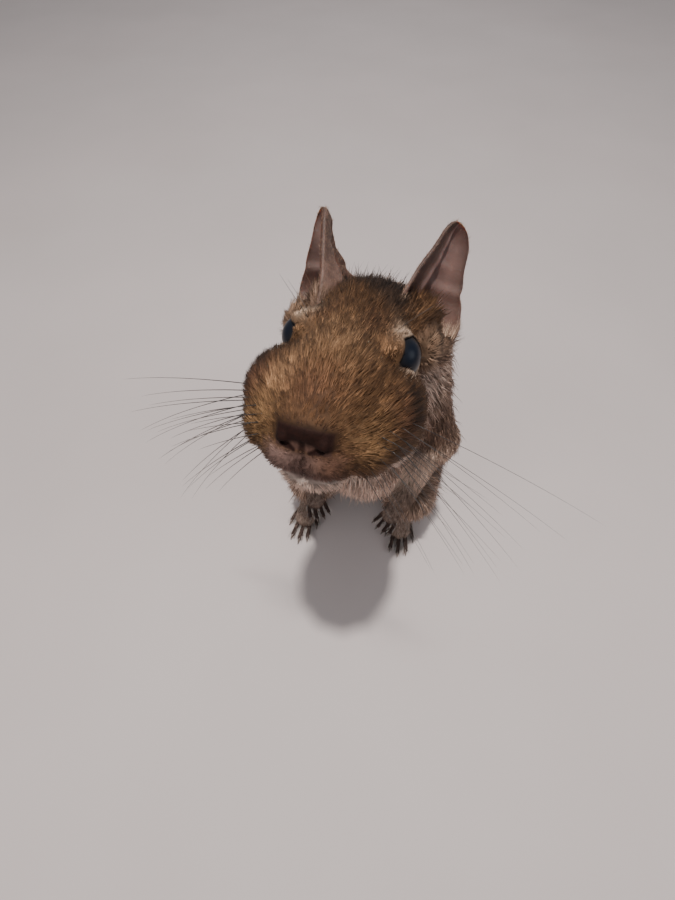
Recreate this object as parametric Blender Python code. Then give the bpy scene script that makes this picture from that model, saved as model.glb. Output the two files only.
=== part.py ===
"""A degu sitting upright on its haunches, life size, head raised and turned.

Every form is written in millimetres in a frame whose floor is z = 0, with the
animal facing -Y and its own left side on +X.  The flesh is modelled whole as a
blend of rounded forms, and is then parted into named solids by thin cuts.
"""
import math
import random

import bmesh
import bpy
import numpy as np
from mathutils import Matrix, Vector

# Scale and joints between solids
MM = 0.001
GAP = 0.3
CUTTER_GROWTH = 0.42
CUTTER_SIZE = 400.0
HAUNCH_CUT = 2.6
ARM_CUT = 1.6
ROOT_SHIFT = (-1.2, -27.7, 0.0)

# Head: place of the nose tip and turn of the head
NOSE_TIP = (-2.4, -68.2, 126.4)
HEAD_YAW = -6.9
HEAD_PITCH = -22.5
HEAD_ROLL = -1.9
SNOUT_CUT_Y = 13.5
HEAD_CUT = (0.0, 40.0, -6.0)
HEAD_CUT_DROP = 0.55

# Forms of the head in its own frame, whose origin is the nose tip, with y back
# and z up: centre, radii and how softly the form joins the ones before it.
# A form off the middle stands on both sides of the head.
SKULL = ((0.0, 32.0, 2.6), (12.4, 16.5, 12.5))
HEAD_FORMS = {
    "bridge": ((0.0, 19.0, 2.4), (10.2, 15.0, 9.6), 4.0),
    "muzzle": ((0.0, 9.5, 0.2), (8.6, 9.0, 7.0), 4.0),
    "cheek": ((9.0, 21.0, -4.6), (6.4, 11.0, 8.0), 4.0),
    "whisker_pad": ((7.1, 9.6, -2.2), (5.8, 7.4, 6.0), 3.0),
    "cheekbone": ((8.4, 15.5, 1.0), (6.8, 9.0, 6.2), 3.0),
    "throat": ((0.0, 16.0, -8.4), (8.0, 12.0, 5.2), 4.0),
    "brow": ((8.0, 21.5, 9.6), (2.6, 5.0, 2.0), 3.0),
    "ear_mound": ((9.4, 36.5, 7.2), (4.4, 5.2, 5.4), 4.0),
}
SNOUT_FORMS = {
    "nose_leather": ((0.0, 2.6, 0.9), (4.4, 3.2, 2.4), 1.0),
    "nostril_wing": ((2.9, 1.7, 1.1), (2.2, 2.3, 1.8), 0.6),
    "upper_lip": ((2.1, 3.4, -3.6), (2.7, 3.2, 2.7), 1.0),
    "lower_jaw": ((0.0, 6.6, -7.8), (3.6, 3.8, 2.6), 1.2),
    "lower_lip": ((0.0, 4.6, -7.3), (2.4, 2.0, 1.3), 0.7),
}
# Grooves: both ends, the radius at each end and the softness of the edge
SNOUT_GROOVES = {
    "nostril": ((1.7, -0.9, 0.1), (3.2, 0.5, 0.1), (0.85, 0.7), 0.35),
    "nostril_slit": ((3.2, 0.5, 0.1), (4.3, 1.6, 1.1), (0.7, 0.4), 0.35),
    "philtrum": ((0.0, -1.4, 1.0), (0.0, -0.2, -5.2), (0.55, 0.65), 0.35),
    "mouth_front": ((0.0, 0.9, -5.7), (2.6, 2.6, -6.9), (0.65, 0.55), 0.4),
    "mouth_corner": ((2.6, 2.6, -6.9), (4.6, 6.4, -7.9), (0.55, 0.45), 0.4),
}
EAR_HOLLOW = ((13.4, 33.0, 9.4), (2.2, 2.5, 3.0))
EAR_HOLLOW_EDGE = 1.2

# Eyes, in the head's own frame
EYE_RADIUS = 4.0
EYE_CENTRE = (7.8, 21.9, 6.8)
EYE_AXIS = (0.80, -0.42, 0.42)
LID_RING = 3.45
LID_THICK = 0.85
LID_CLEAR = 0.1
LID_EDGE = 1.2
SLIT_DEPTH = 4.0
SLIT_RADII = (2.9, 3.25)
SLIT_EDGE = 0.4

# Ears, in the head's own frame
EAR_HALF_WIDTH = 6.6
EAR_ROOT_LEFT = (10.4, 32.0, 5.0)
EAR_ROOT_RIGHT = (-11.8, 32.0, 5.0)
EAR_TIP_LEFT = (12.2, 43.5, 25.6)
EAR_TIP_RIGHT = (-13.2, 41.0, 25.2)
EAR_FACE_LEFT = (0.68, -0.73, 0.1)
EAR_FACE_RIGHT = (-0.85, -0.53, 0.1)
EAR_THICK_ROOT = 1.5
EAR_THICK_RIM = 0.75
EAR_ROWS = 13
EAR_ROW_CROWDING = 1.7
EAR_COLUMNS = 9
EAR_CUP_ROOT = 215.0
EAR_CUP_TIP = 80.0
EAR_ARCH = 1.6
EAR_SWEEP = 1.5
EAR_RIM_FOLD = 0.5
EAR_FRONT = (0.75, 0.88, 0.2, 0.3)
EAR_REAR = (1.1, 1.4, 0.34, 0.6)
EAR_TIP_ROUND = 0.14

# Trunk: centre and radii of each form, and how far it leans off the feet
BODY_LEAN = 1.5
RUMP = ((0.0, 14.0, 27.5), (28.0, 26.0, 29.0))
BELLY = ((0.0, -1.0, 46.0), (26.0, 29.5, 29.5))
RIBS = ((0.0, -7.5, 73.5), (24.5, 24.5, 25.0))
SHOULDERS = ((0.0, -16.0, 89.5), (20.0, 17.0, 16.0))
NECK_ENDS = ((0.0, -13.0, 92.0), (-0.5, -25.0, 106.0))
NECK_RADII = (16.5, 13.0)
TRUNK_BLEND = 9.0
NECK_BLEND = 7.0
HEAD_BLEND = 6.0
HAUNCH_BLEND = 5.0
KNEE_BLEND = 6.0
ARM_BLEND = 3.0
ELBOW_BLEND = 4.0
CHEST_CUT = ((0.0, -4.0, 62.0), (0.0, -0.35, 1.0))
NECK_CUT = ((0.0, -19.0, 97.0), (0.0, -0.5, 1.0))

# Hind leg, left side; the right side mirrors it
HIP = (17.0, 12.0, 32.0)
KNEE = (18.6, -19.5, 29.0)
ANKLE = (18.6, -4.5, 9.0)
HAUNCH_RADII = (16.0, 9.0)
SHANK_RADII = (8.0, 6.0)
HEEL = (18.4, -2.0, 3.5)
TOE_ROOT = (19.6, -24.5, 3.2)
FOOT_STEP = {1: (0.4, 2.2, 0.0), -1: (-0.6, -0.6, 0.0)}
FOOT_RADII = (4.6, 4.2)
FOOT_SQUASH = 0.8
HEEL_RADII = (4.4, 4.2)
HEEL_BLEND = 3.0
HIND_TOE_SPREAD = (-14.0, -7.0, 0.0, 7.0, 15.0)
HIND_TOE_LENGTH = (5.6, 8.6, 9.6, 9.0, 6.2)
HIND_TOE_SET = (-3.9, -2.1, 0.0, 2.1, 3.9)
HIND_TOE_BACK = (4.0, 0.6, 0.0, 0.5, 3.6)
HIND_TOE_RADIUS = 1.2
HIND_TOE_TIP = 1.15
TOE_BEND = 0.55
TOE_ARCH = 0.6
HIND_CLAW = 2.4
CLAW_RADII = (0.75, 0.3)
CLAW_RISE = 0.35
CLAW_DROP = 0.9

# Foreleg, left side
SHOULDER = (13.0, -18.0, 85.5)
ELBOW = (22.0, -16.0, 63.0)
WRIST = (15.0, -33.5, 52.5)
UPPER_ARM_RADII = (9.0, 7.5)
FOREARM_RADII = (6.2, 4.0)
KNUCKLES = (12.4, -38.0, 47.5)
HAND_RADII = (3.1, 3.0)
FINGER_SPREAD = (-11.0, -4.0, 4.0, 11.0)
FINGER_SET = (-2.5, -0.85, 0.85, 2.5)
FINGER_LENGTH = (3.6, 4.5, 4.6, 3.7)
FINGER_RADIUS = 0.95
FINGER_CURL = 0.75
FORE_CLAW = 1.8
FORE_CLAW_CURL = 1.3
FORE_CLAW_RADII = (0.55, 0.28)
THUMB_BACK = 2.2
THUMB_SET = 3.0
THUMB_RADII = (1.0, 0.8)

# Tail: points down its middle and the radius at each
TAIL_PATH = (
    (0.0, 26.0, 16.0), (0.3, 36.0, 10.5), (1.2, 46.0, 6.2), (3.2, 57.0, 3.7),
    (6.4, 70.0, 2.9), (10.2, 83.0, 2.6), (14.2, 96.0, 2.5), (17.6, 109.0, 3.0),
    (19.6, 119.0, 3.8),
)
TAIL_RADII = (5.2, 4.6, 3.9, 3.3, 2.9, 2.6, 2.5, 2.4, 1.6)
TAIL_SIDES = 12
TAIL_STEPS = 3
TAIL_CUTS = (3, 6)
TUFT_RINGS = 3
TUFT_LOCKS_A_RING = 5
TUFT_LOCK_LENGTH = 16.0
TUFT_LOCK_WIDTH = 2.3
TUFT_LOCK_THICK = 0.6
TUFT_SPLAY = (0.22, 0.32)
TUFT_FLOOR = 0.8
LOCK_RINGS = ((0.0, 0.7), (0.3, 1.0), (0.62, 0.8), (0.86, 0.42))

# Whiskers
WHISKERS_A_SIDE = 9
WHISKER_LENGTH = 42.0
WHISKER_RADIUS = 0.27
WHISKER_RINGS = 5
WHISKER_SIDES = 4
WHISKER_TAPER = 0.12
WHISKER_ROWS = 4
WHISKER_ROOT = (8.0, 7.0, -0.4)
WHISKER_COLUMN_STEP = (1.1, 1.9)
WHISKER_ROW_STEP = 1.7
WHISKER_FIRST_ANGLE = -4.0
WHISKER_ROW_ANGLE = 13.0
WHISKER_BEND = (-0.04, 0.16, -0.06)
WHISKER_SUNK = 2.0

# Rounds of closing after a form is turned into a surface
MEND_ROUNDS = 4

# Colour and roughness by the start of a node's name; the rest is brown fur
FUR = ((0.30, 0.21, 0.13), 0.9)
LOOKS = {
    "eye": ((0.01, 0.012, 0.02), 0.08),
    "ear": ((0.42, 0.30, 0.27), 0.6),
    "abdomen": ((0.52, 0.46, 0.38), 0.9),
    "hind_foot": ((0.40, 0.34, 0.28), 0.8),
    "forepaw": ((0.42, 0.33, 0.28), 0.8),
    "tail_tuft": ((0.03, 0.025, 0.02), 0.9),
}
SMOOTH_ANGLE = 50.0

# Grid steps that the forms are sampled at
STEPS = {"head": 0.7, "snout": 0.5, "body": 1.35, "hind_foot": 0.5, "forepaw": 0.4, "cutter": 2.0}

# Facets allowed for each form
FACETS = {
    "head": 2100, "snout": 1850, "body": 2750, "cutter": 170,
    "hind_foot": 560, "forepaw": 420,
}


def clear_scene():
    for thing in list(bpy.data.objects):
        bpy.data.objects.remove(thing, do_unlink=True)


def matrix_of(yaw, pitch, roll):
    return np.array(Matrix.Rotation(math.radians(yaw), 3, "Z")
                    @ Matrix.Rotation(math.radians(pitch), 3, "X")
                    @ Matrix.Rotation(math.radians(roll), 3, "Y"))


HEAD_TURN = matrix_of(HEAD_YAW, HEAD_PITCH, HEAD_ROLL)


def to_head(points):
    return (points - np.array(NOSE_TIP)) @ HEAD_TURN


def from_head(point):
    return np.array(NOSE_TIP) + HEAD_TURN @ np.array(point, float)


def unit(vector):
    vector = np.array(vector, float)
    return vector / np.linalg.norm(vector)


def mirror(point, side):
    return np.array((point[0] * side + BODY_LEAN, point[1], point[2]), float)


def foot_place(point, side):
    return np.array((point[0] * side, point[1], point[2])) + np.array(FOOT_STEP[side])


def folded(points):
    out = points.copy()
    out[:, 0] = np.abs(out[:, 0])
    return out


# Distance forms: negative inside, positive outside, in millimetres

def ball(points, centre, radii):
    offset = points - np.array(centre, float)
    radii = np.array(radii, float)
    near = np.linalg.norm(offset / radii, axis=1)
    slope = np.linalg.norm(offset / radii ** 2, axis=1)
    return near * (near - 1.0) / np.maximum(slope, 1e-9)


def bone(points, start, end, start_radius, end_radius):
    start = np.array(start, float)
    along = np.array(end, float) - start
    share = np.clip((points - start) @ along / (along @ along), 0.0, 1.0)
    spine = start + share[:, None] * along
    width = start_radius + (end_radius - start_radius) * share
    return np.linalg.norm(points - spine, axis=1) - width


def ring(points, centre, axis, radius, thickness):
    offset = points - np.array(centre, float)
    axis = unit(axis)
    height = offset @ axis
    around = np.linalg.norm(offset - height[:, None] * axis, axis=1)
    return np.hypot(around - radius, height) - thickness


def blend(first, second, width):
    share = np.clip(0.5 + 0.5 * (second - first) / width, 0.0, 1.0)
    return second * (1 - share) + first * share - width * share * (1 - share)


def carve(form, hollow, width):
    return -blend(-form, hollow, width)


def head_form(points):
    a = folded(to_head(points))
    d = ball(a, *SKULL)
    for centre, radii, softness in HEAD_FORMS.values():
        d = blend(d, ball(a, centre, radii), softness)
    return d


def snout_details(points, d):
    a = folded(to_head(points))
    for centre, radii, softness in SNOUT_FORMS.values():
        d = blend(d, ball(a, centre, radii), softness)
    for start, end, radii, edge in SNOUT_GROOVES.values():
        d = carve(d, bone(a, start, end, *radii), edge)
    return d


def eye_details(points, d):
    """A raised lid round each eye and the opening that the ball shows through."""
    a = folded(to_head(points))
    axis = unit(EYE_AXIS)
    reach = math.sqrt((EYE_RADIUS + GAP + LID_CLEAR) ** 2 - LID_RING ** 2)
    centre = np.array(EYE_CENTRE) + axis * reach
    d = blend(d, ring(a, centre, axis, LID_RING, LID_THICK), LID_EDGE)
    return carve(d, bone(a, centre, centre + axis * SLIT_DEPTH, *SLIT_RADII), SLIT_EDGE)


def ear_hollow(points, d):
    a = folded(to_head(points))
    return carve(d, ball(a, *EAR_HOLLOW), EAR_HOLLOW_EDGE)


def neck_form(points):
    return bone(points, *NECK_ENDS, *NECK_RADII)


def trunk_form(points):
    leaning = points - np.array((BODY_LEAN, 0.0, 0.0))
    d = ball(leaning, RUMP[0], RUMP[1])
    for centre, radii in (BELLY, RIBS, SHOULDERS):
        d = blend(d, ball(leaning, centre, radii), TRUNK_BLEND)
    return blend(d, neck_form(points), NECK_BLEND)


def haunch_form(points, side):
    hip = mirror(HIP, side)
    knee = mirror(KNEE, side)
    ankle = foot_place(ANKLE, side)
    d = bone(points, hip, knee, *HAUNCH_RADII)
    return blend(d, bone(points, knee, ankle, *SHANK_RADII), KNEE_BLEND)


def arm_form(points, side):
    elbow = mirror(ELBOW, side)
    d = bone(points, mirror(SHOULDER, side), elbow, *UPPER_ARM_RADII)
    forearm = bone(points, elbow, mirror(WRIST, side), *FOREARM_RADII)
    return blend(d, forearm, ELBOW_BLEND)


def body_form(points):
    d = trunk_form(points)
    for side in (1, -1):
        d = blend(d, haunch_form(points, side), HAUNCH_BLEND)
        d = blend(d, arm_form(points, side), ARM_BLEND)
    return blend(d, head_form(points), HEAD_BLEND)


def foot_form(points, side):
    heel = foot_place(HEEL, side)
    root = foot_place(TOE_ROOT, side)
    upright = np.array((1.0, 1.0, 1.0 / FOOT_SQUASH))
    d = bone(points * upright, heel * upright, root * upright, *FOOT_RADII)
    d = blend(d, bone(points, heel, foot_place(ANKLE, side), *HEEL_RADII), HEEL_BLEND)
    ahead = unit(root - heel)
    ahead[2] = 0.0
    up = np.array((0.0, 0.0, 1.0))
    across = unit(np.cross(up, ahead))
    for turn, length, offset, back in zip(
            HIND_TOE_SPREAD, HIND_TOE_LENGTH, HIND_TOE_SET, HIND_TOE_BACK):
        swing = math.radians(turn * side)
        start = root + across * offset * side - ahead * back
        start[2] = HIND_TOE_RADIUS - 0.1
        way = unit(ahead * math.cos(swing) + across * math.sin(swing))
        middle = start + way * length * TOE_BEND + up * TOE_ARCH
        tip = start + way * length - up * 0.05
        nail = tip + way * 0.4 + up * CLAW_RISE
        point = nail + way * HIND_CLAW - up * CLAW_DROP
        d = blend(d, bone(points, start, middle, HIND_TOE_RADIUS, HIND_TOE_RADIUS), 0.9)
        d = blend(d, bone(points, middle, tip, HIND_TOE_RADIUS, HIND_TOE_TIP), 0.5)
        d = blend(d, bone(points, nail, point, *CLAW_RADII), 0.3)
    return d


def hand_form(points, side):
    wrist = mirror(WRIST, side)
    knuckles = mirror(KNUCKLES, side)
    ahead = unit(knuckles - wrist)
    across = unit(np.cross((0.0, 0.0, 1.0), ahead))
    palm = np.cross(ahead, across)
    d = bone(points, wrist + ahead * 0.5, knuckles, *HAND_RADII)
    for turn, length, offset in zip(FINGER_SPREAD, FINGER_LENGTH, FINGER_SET):
        swing = math.radians(turn)
        start = knuckles + across * offset + ahead * 1.2
        way = unit(ahead * math.cos(swing) + across * math.sin(swing) + palm * 0.1)
        middle = start + way * length * TOE_BEND
        tip = middle + unit(way + palm * FINGER_CURL) * length * (1 - TOE_BEND)
        point = tip + unit(way + palm * FORE_CLAW_CURL) * FORE_CLAW
        d = blend(d, bone(points, start, middle, FINGER_RADIUS + 0.1, FINGER_RADIUS), 0.7)
        d = blend(d, bone(points, middle, tip, FINGER_RADIUS, FINGER_RADIUS - 0.05), 0.3)
        d = blend(d, bone(points, tip, point, *FORE_CLAW_RADII), 0.25)
    thumb = knuckles - ahead * THUMB_BACK - across * THUMB_SET * side
    thumb_tip = thumb + palm * 1.6 + ahead
    return blend(d, bone(points, thumb, thumb_tip, *THUMB_RADII), 0.8)


# Turning a distance form into a closed surface

def surface_of(form, low, high, step):
    """Vertices and quads of the zero level of a form inside a box."""
    axes = [np.arange(low[i], high[i] + step, step) for i in range(3)]
    grid = np.stack(np.meshgrid(*axes, indexing="ij"), axis=-1)
    shape = grid.shape[:3]
    value = form(grid.reshape(-1, 3)).reshape(shape)
    value = np.where(np.abs(value) < 1e-7, 1e-7, value)
    cells = tuple(n - 1 for n in shape)
    total = np.zeros((cells[0] * cells[1] * cells[2], 3))
    count = np.zeros(len(total))
    quads = []
    around = ((1, 2), (2, 0), (0, 1))
    for axis in range(3):
        low_side = [slice(None)] * 3
        high_side = [slice(None)] * 3
        low_side[axis] = slice(0, -1)
        high_side[axis] = slice(1, None)
        near = value[tuple(low_side)]
        far = value[tuple(high_side)]
        crossing = np.argwhere((near < 0) != (far < 0))
        u, v = around[axis]
        keep = ((crossing[:, u] > 0) & (crossing[:, v] > 0)
                & (crossing[:, u] < shape[u] - 1) & (crossing[:, v] < shape[v] - 1))
        crossing = crossing[keep]
        start = near[tuple(crossing.T)]
        stop = far[tuple(crossing.T)]
        place = np.array(low) + crossing * step
        place[:, axis] += step * start / (start - stop)
        corner = []
        for du, dv in ((-1, -1), (0, -1), (0, 0), (-1, 0)):
            cell = crossing.copy()
            cell[:, u] += du
            cell[:, v] += dv
            index = (cell[:, 0] * cells[1] + cell[:, 1]) * cells[2] + cell[:, 2]
            np.add.at(total, index, place)
            np.add.at(count, index, 1.0)
            corner.append(index)
        faces = np.stack(corner, axis=1)
        faces[start > 0] = faces[start > 0][:, ::-1]
        quads.append(faces)
    quads = np.concatenate(quads)
    used, inverse = np.unique(quads, return_inverse=True)
    verts = total[used] / count[used][:, None]
    for _ in range(2):
        verts = toward_level(form, verts, step)
    return verts, inverse.reshape(quads.shape)


def toward_level(form, verts, step):
    reach = step * 0.1
    here = form(verts)
    slope = np.zeros_like(verts)
    for axis in range(3):
        ahead = verts.copy()
        ahead[:, axis] += reach
        slope[:, axis] = (form(ahead) - here) / reach
    size = np.maximum((slope ** 2).sum(axis=1), 0.25)
    move = -slope * (here / size)[:, None]
    length = np.linalg.norm(move, axis=1)
    limit = step * 0.3
    move *= np.minimum(1.0, limit / np.maximum(length, 1e-9))[:, None]
    return verts + move


def add_object(name, verts, faces):
    mesh = bpy.data.meshes.new(name)
    mesh.from_pydata([tuple(v) for v in verts], [], [tuple(int(i) for i in f) for f in faces])
    mesh.validate()
    thing = bpy.data.objects.new(name, mesh)
    bpy.context.scene.collection.objects.link(thing)
    return thing


def mend(thing):
    """Cut out edges shared by more than two faces and close the holes left."""
    for _ in range(MEND_ROUNDS):
        mesh = bmesh.new()
        mesh.from_mesh(thing.data)
        bad = {vert for edge in mesh.edges if not edge.is_manifold for vert in edge.verts}
        if not bad:
            mesh.free()
            return
        bmesh.ops.delete(mesh, geom=list(bad), context="VERTS")
        rim = [edge for edge in mesh.edges if edge.is_boundary]
        bmesh.ops.holes_fill(mesh, edges=rim, sides=0)
        bmesh.ops.triangulate(mesh, faces=mesh.faces[:])
        mesh.to_mesh(thing.data)
        mesh.free()
        keep_largest(thing)


def solid_of(name, form, low, high, step, facets=None):
    verts, faces = surface_of(form, np.array(low, float), high, step)
    thing = add_object(name, verts, faces)
    keep_largest(thing)
    mend(thing)
    if facets:
        thin_out(thing, facets)
        mend(thing)
    return thing


def apply_modifiers(thing):
    graph = bpy.context.evaluated_depsgraph_get()
    result = bpy.data.meshes.new_from_object(thing.evaluated_get(graph))
    thing.modifiers.clear()
    thing.data = result


def thin_out(thing, facets):
    mesh = bmesh.new()
    mesh.from_mesh(thing.data)
    bmesh.ops.triangulate(mesh, faces=mesh.faces[:])
    now = len(mesh.faces)
    mesh.to_mesh(thing.data)
    mesh.free()
    if now <= facets:
        return
    step = thing.modifiers.new("thin", "DECIMATE")
    step.ratio = facets / now
    apply_modifiers(thing)


def keep_largest(thing):
    mesh = bmesh.new()
    mesh.from_mesh(thing.data)
    mesh.verts.ensure_lookup_table()
    seen = set()
    groups = []
    for vert in mesh.verts:
        if vert.index in seen:
            continue
        group = [vert]
        seen.add(vert.index)
        for member in group:
            for edge in member.link_edges:
                other = edge.other_vert(member)
                if other.index not in seen:
                    seen.add(other.index)
                    group.append(other)
        groups.append(group)
    groups.sort(key=len)
    loose = [vert for group in groups[:-1] for vert in group]
    if loose:
        bmesh.ops.delete(mesh, geom=loose, context="VERTS")
    mesh.to_mesh(thing.data)
    mesh.free()


def combine(thing, tool, operation, drop=True):
    step = thing.modifiers.new("combine", "BOOLEAN")
    step.operation = operation
    step.solver = "EXACT"
    step.object = tool
    apply_modifiers(thing)
    if drop:
        bpy.data.objects.remove(tool, do_unlink=True)
    keep_largest(thing)
    return thing


def grow(thing, distance):
    """Push each corner out along its normal, for a cutter that leaves a gap."""
    mesh = bmesh.new()
    mesh.from_mesh(thing.data)
    mesh.normal_update()
    moves = [vert.normal * (distance * min(vert.calc_shell_factor(), 1.3)) for vert in mesh.verts]
    for vert, move in zip(mesh.verts, moves):
        vert.co += move
    mesh.to_mesh(thing.data)
    mesh.free()
    return thing


def copy_of(thing, name):
    twin = bpy.data.objects.new(name, thing.data.copy())
    bpy.context.scene.collection.objects.link(twin)
    return twin


def slice_off(thing, place, outward):
    """Remove what lies beyond a plane with a large block."""
    outward = Vector(outward).normalized()
    mesh = bmesh.new()
    bmesh.ops.create_cube(mesh, size=CUTTER_SIZE)
    turn = Vector((0.0, 0.0, 1.0)).rotation_difference(outward).to_matrix().to_4x4()
    centre = Vector(place) + outward * CUTTER_SIZE / 2
    mesh.transform(Matrix.Translation(centre) @ turn)
    data = bpy.data.meshes.new("cutter")
    mesh.to_mesh(data)
    mesh.free()
    block = bpy.data.objects.new("cutter", data)
    bpy.context.scene.collection.objects.link(block)
    combine(thing, block, "DIFFERENCE")


def part_at(thing, place, outward, far_name):
    """Cut a solid in two with a thin gap; the piece beyond the plane is new."""
    outward = unit(outward)
    place = np.array(place, float)
    far = copy_of(thing, far_name)
    slice_off(thing, place - outward * GAP / 2, outward)
    slice_off(far, place + outward * GAP / 2, -outward)
    return far


def sphere(name, centre, radius, rings=10, sides=14):
    verts = [(0.0, 0.0, radius)]
    faces = []
    for i in range(1, rings):
        polar = math.pi * i / rings
        for j in range(sides):
            turn = 2 * math.pi * j / sides
            verts.append((radius * math.sin(polar) * math.cos(turn),
                          radius * math.sin(polar) * math.sin(turn),
                          radius * math.cos(polar)))
    verts.append((0.0, 0.0, -radius))
    last = len(verts) - 1
    for j in range(sides):
        k = (j + 1) % sides
        faces.append((0, 1 + j, 1 + k))
        faces.append((last, last - sides + k, last - sides + j))
        for i in range(rings - 2):
            base = 1 + i * sides
            faces.append((base + j, base + sides + j, base + sides + k, base + k))
    verts = np.array(verts) + np.array(centre, float)
    return add_object(name, verts, faces)


def tube(name, path, radii, sides, extra=0.0):
    """A closed tube down a path of points, with a rounded cap at each end."""
    path = [np.array(p, float) for p in path]
    radii = [r + extra for r in radii]
    first = path[0] - unit(path[1] - path[0]) * radii[0] * 0.5
    last = path[-1] + unit(path[-1] - path[-2]) * radii[-1] * 0.8
    path = [first] + path + [last]
    radii = [radii[0] * 0.6] + radii + [radii[-1] * 0.45]
    up = np.array((0.0, 0.0, 1.0))
    verts = []
    faces = []
    for i, point in enumerate(path):
        ahead = unit(path[min(i + 1, len(path) - 1)] - path[max(i - 1, 0)])
        across = unit(np.cross(ahead, up))
        rise = np.cross(across, ahead)
        for j in range(sides):
            turn = 2 * math.pi * j / sides
            verts.append(point + across * radii[i] * math.cos(turn)
                         + rise * radii[i] * math.sin(turn))
    for i in range(len(path) - 1):
        for j in range(sides):
            k = (j + 1) % sides
            low, high = i * sides, (i + 1) * sides
            faces.append((low + j, low + k, high + k, high + j))
    faces.append(tuple(range(sides))[::-1])
    faces.append(tuple(range(len(verts) - sides, len(verts))))
    thing = add_object(name, verts, faces)
    set_outward(thing)
    return thing


def set_outward(thing):
    mesh = bmesh.new()
    mesh.from_mesh(thing.data)
    bmesh.ops.recalc_face_normals(mesh, faces=mesh.faces[:])
    bmesh.ops.triangulate(mesh, faces=mesh.faces[:])
    mesh.to_mesh(thing.data)
    mesh.free()


def smooth_path(points, steps):
    """Points of a rounded curve through the given points, with their share."""
    points = [np.array(p, float) for p in points]
    out = []
    for i in range(len(points) - 1):
        before = points[max(i - 1, 0)]
        start, stop = points[i], points[i + 1]
        after = points[min(i + 2, len(points) - 1)]
        for n in range(steps):
            t = n / steps
            out.append(0.5 * ((2 * start) + (stop - before) * t
                              + (2 * before - 5 * start + 4 * stop - after) * t ** 2
                              + (3 * start - before - 3 * stop + after) * t ** 3))
    out.append(points[-1])
    return out


def ear(name, side, root, tip, face):
    """A cupped leaf: an inner and an outer skin stitched round their rim."""
    root = np.array(root, float)
    tip = np.array(tip, float)
    axis = unit(tip - root)
    face = unit(np.array(face) - axis * (np.array(face) @ axis))
    across = np.cross(axis, face) * side
    inner, outer = [], []
    length = np.linalg.norm(tip - root)
    for i in range(EAR_ROWS):
        u = 1 - (1 - i / (EAR_ROWS - 1)) ** EAR_ROW_CROWDING
        front = EAR_HALF_WIDTH * ear_profile(u, EAR_FRONT)
        rear = EAR_HALF_WIDTH * ear_profile(u, EAR_REAR)
        cup = math.radians(EAR_CUP_ROOT + (EAR_CUP_TIP - EAR_CUP_ROOT) * min(1.0, u * 1.4))
        sag = face * (-EAR_ARCH * math.sin(math.pi * u)) + across * EAR_SWEEP * u * (1 - u)
        centre = root + axis * length * u + sag
        for j in range(EAR_COLUMNS):
            v = -1 + 2 * j / (EAR_COLUMNS - 1)
            width = front if v < 0 else rear
            swing = v * cup / 2
            bend = width / max(math.sin(min(cup / 2, math.pi / 2)), 0.2)
            radial = across * math.sin(swing) - face * math.cos(swing)
            middle = face * math.cos(cup / 2)
            rim = abs(v) ** 3
            fold = EAR_RIM_FOLD * rim * math.sin(math.pi * min(1.0, u * 1.15))
            thick = EAR_THICK_ROOT * (1 - u) + EAR_THICK_RIM * u
            thick = thick * (1 - rim) + EAR_THICK_RIM * rim
            point = centre + (radial + middle) * bend - face * fold
            inner.append(from_head(point))
            outer.append(from_head(point + radial * thick))
    verts = inner + outer
    shift = len(inner)
    faces = []
    for i in range(EAR_ROWS - 1):
        for j in range(EAR_COLUMNS - 1):
            a = i * EAR_COLUMNS + j
            b = a + 1
            c = a + EAR_COLUMNS + 1
            d = a + EAR_COLUMNS
            faces.append((a, b, c, d))
            faces.append((shift + d, shift + c, shift + b, shift + a))
    last = EAR_ROWS - 1
    rim = list(range(EAR_COLUMNS))
    rim += [i * EAR_COLUMNS + EAR_COLUMNS - 1 for i in range(1, EAR_ROWS)]
    rim += [last * EAR_COLUMNS + j for j in range(EAR_COLUMNS - 2, -1, -1)]
    rim += [i * EAR_COLUMNS for i in range(last - 1, 0, -1)]
    for n, a in enumerate(rim):
        b = rim[(n + 1) % len(rim)]
        faces.append((b, a, shift + a, shift + b))
    thing = add_object(name, verts, faces)
    set_outward(thing)
    return thing


def ear_profile(u, sizes):
    """Half width of one side: it swells from the root, then tapers to a round tip."""
    at_root, at_swell, swell, near_tip = sizes
    if u < swell:
        t = u / swell
        width = at_root + (at_swell - at_root) * t * t * (3 - 2 * t)
    else:
        t = (u - swell) / (1 - swell)
        width = at_swell + (near_tip - at_swell) * t * t * (3 - 2 * t)
    left = min((1 - u) / EAR_TIP_ROUND, 1.0)
    return max(width * math.sqrt(1 - (1 - left) ** 2), 0.05)


def lock(root, way, length):
    """A flat tapered lock of hair: rings of four corners and a point."""
    way = unit(way)
    across = unit(np.cross(way, (0.13, 0.2, 1.0)))
    flat = np.cross(across, way)
    verts = []
    for share, size in LOCK_RINGS:
        centre = root + way * length * share
        for turn in (0, 1, 2, 3):
            side = across * math.cos(turn * math.pi / 2) * TUFT_LOCK_WIDTH * size
            rise = flat * math.sin(turn * math.pi / 2) * TUFT_LOCK_THICK * size
            verts.append(centre + side + rise)
    verts.append(root + way * length)
    faces = [(3, 2, 1, 0)]
    last = 4 * (len(LOCK_RINGS) - 1)
    for base in range(0, last, 4):
        for j in range(4):
            k = (j + 1) % 4
            faces.append((base + j, base + k, base + 4 + k, base + 4 + j))
    for j in range(4):
        faces.append((last + j, last + (j + 1) % 4, last + 4))
    return verts, faces


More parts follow.
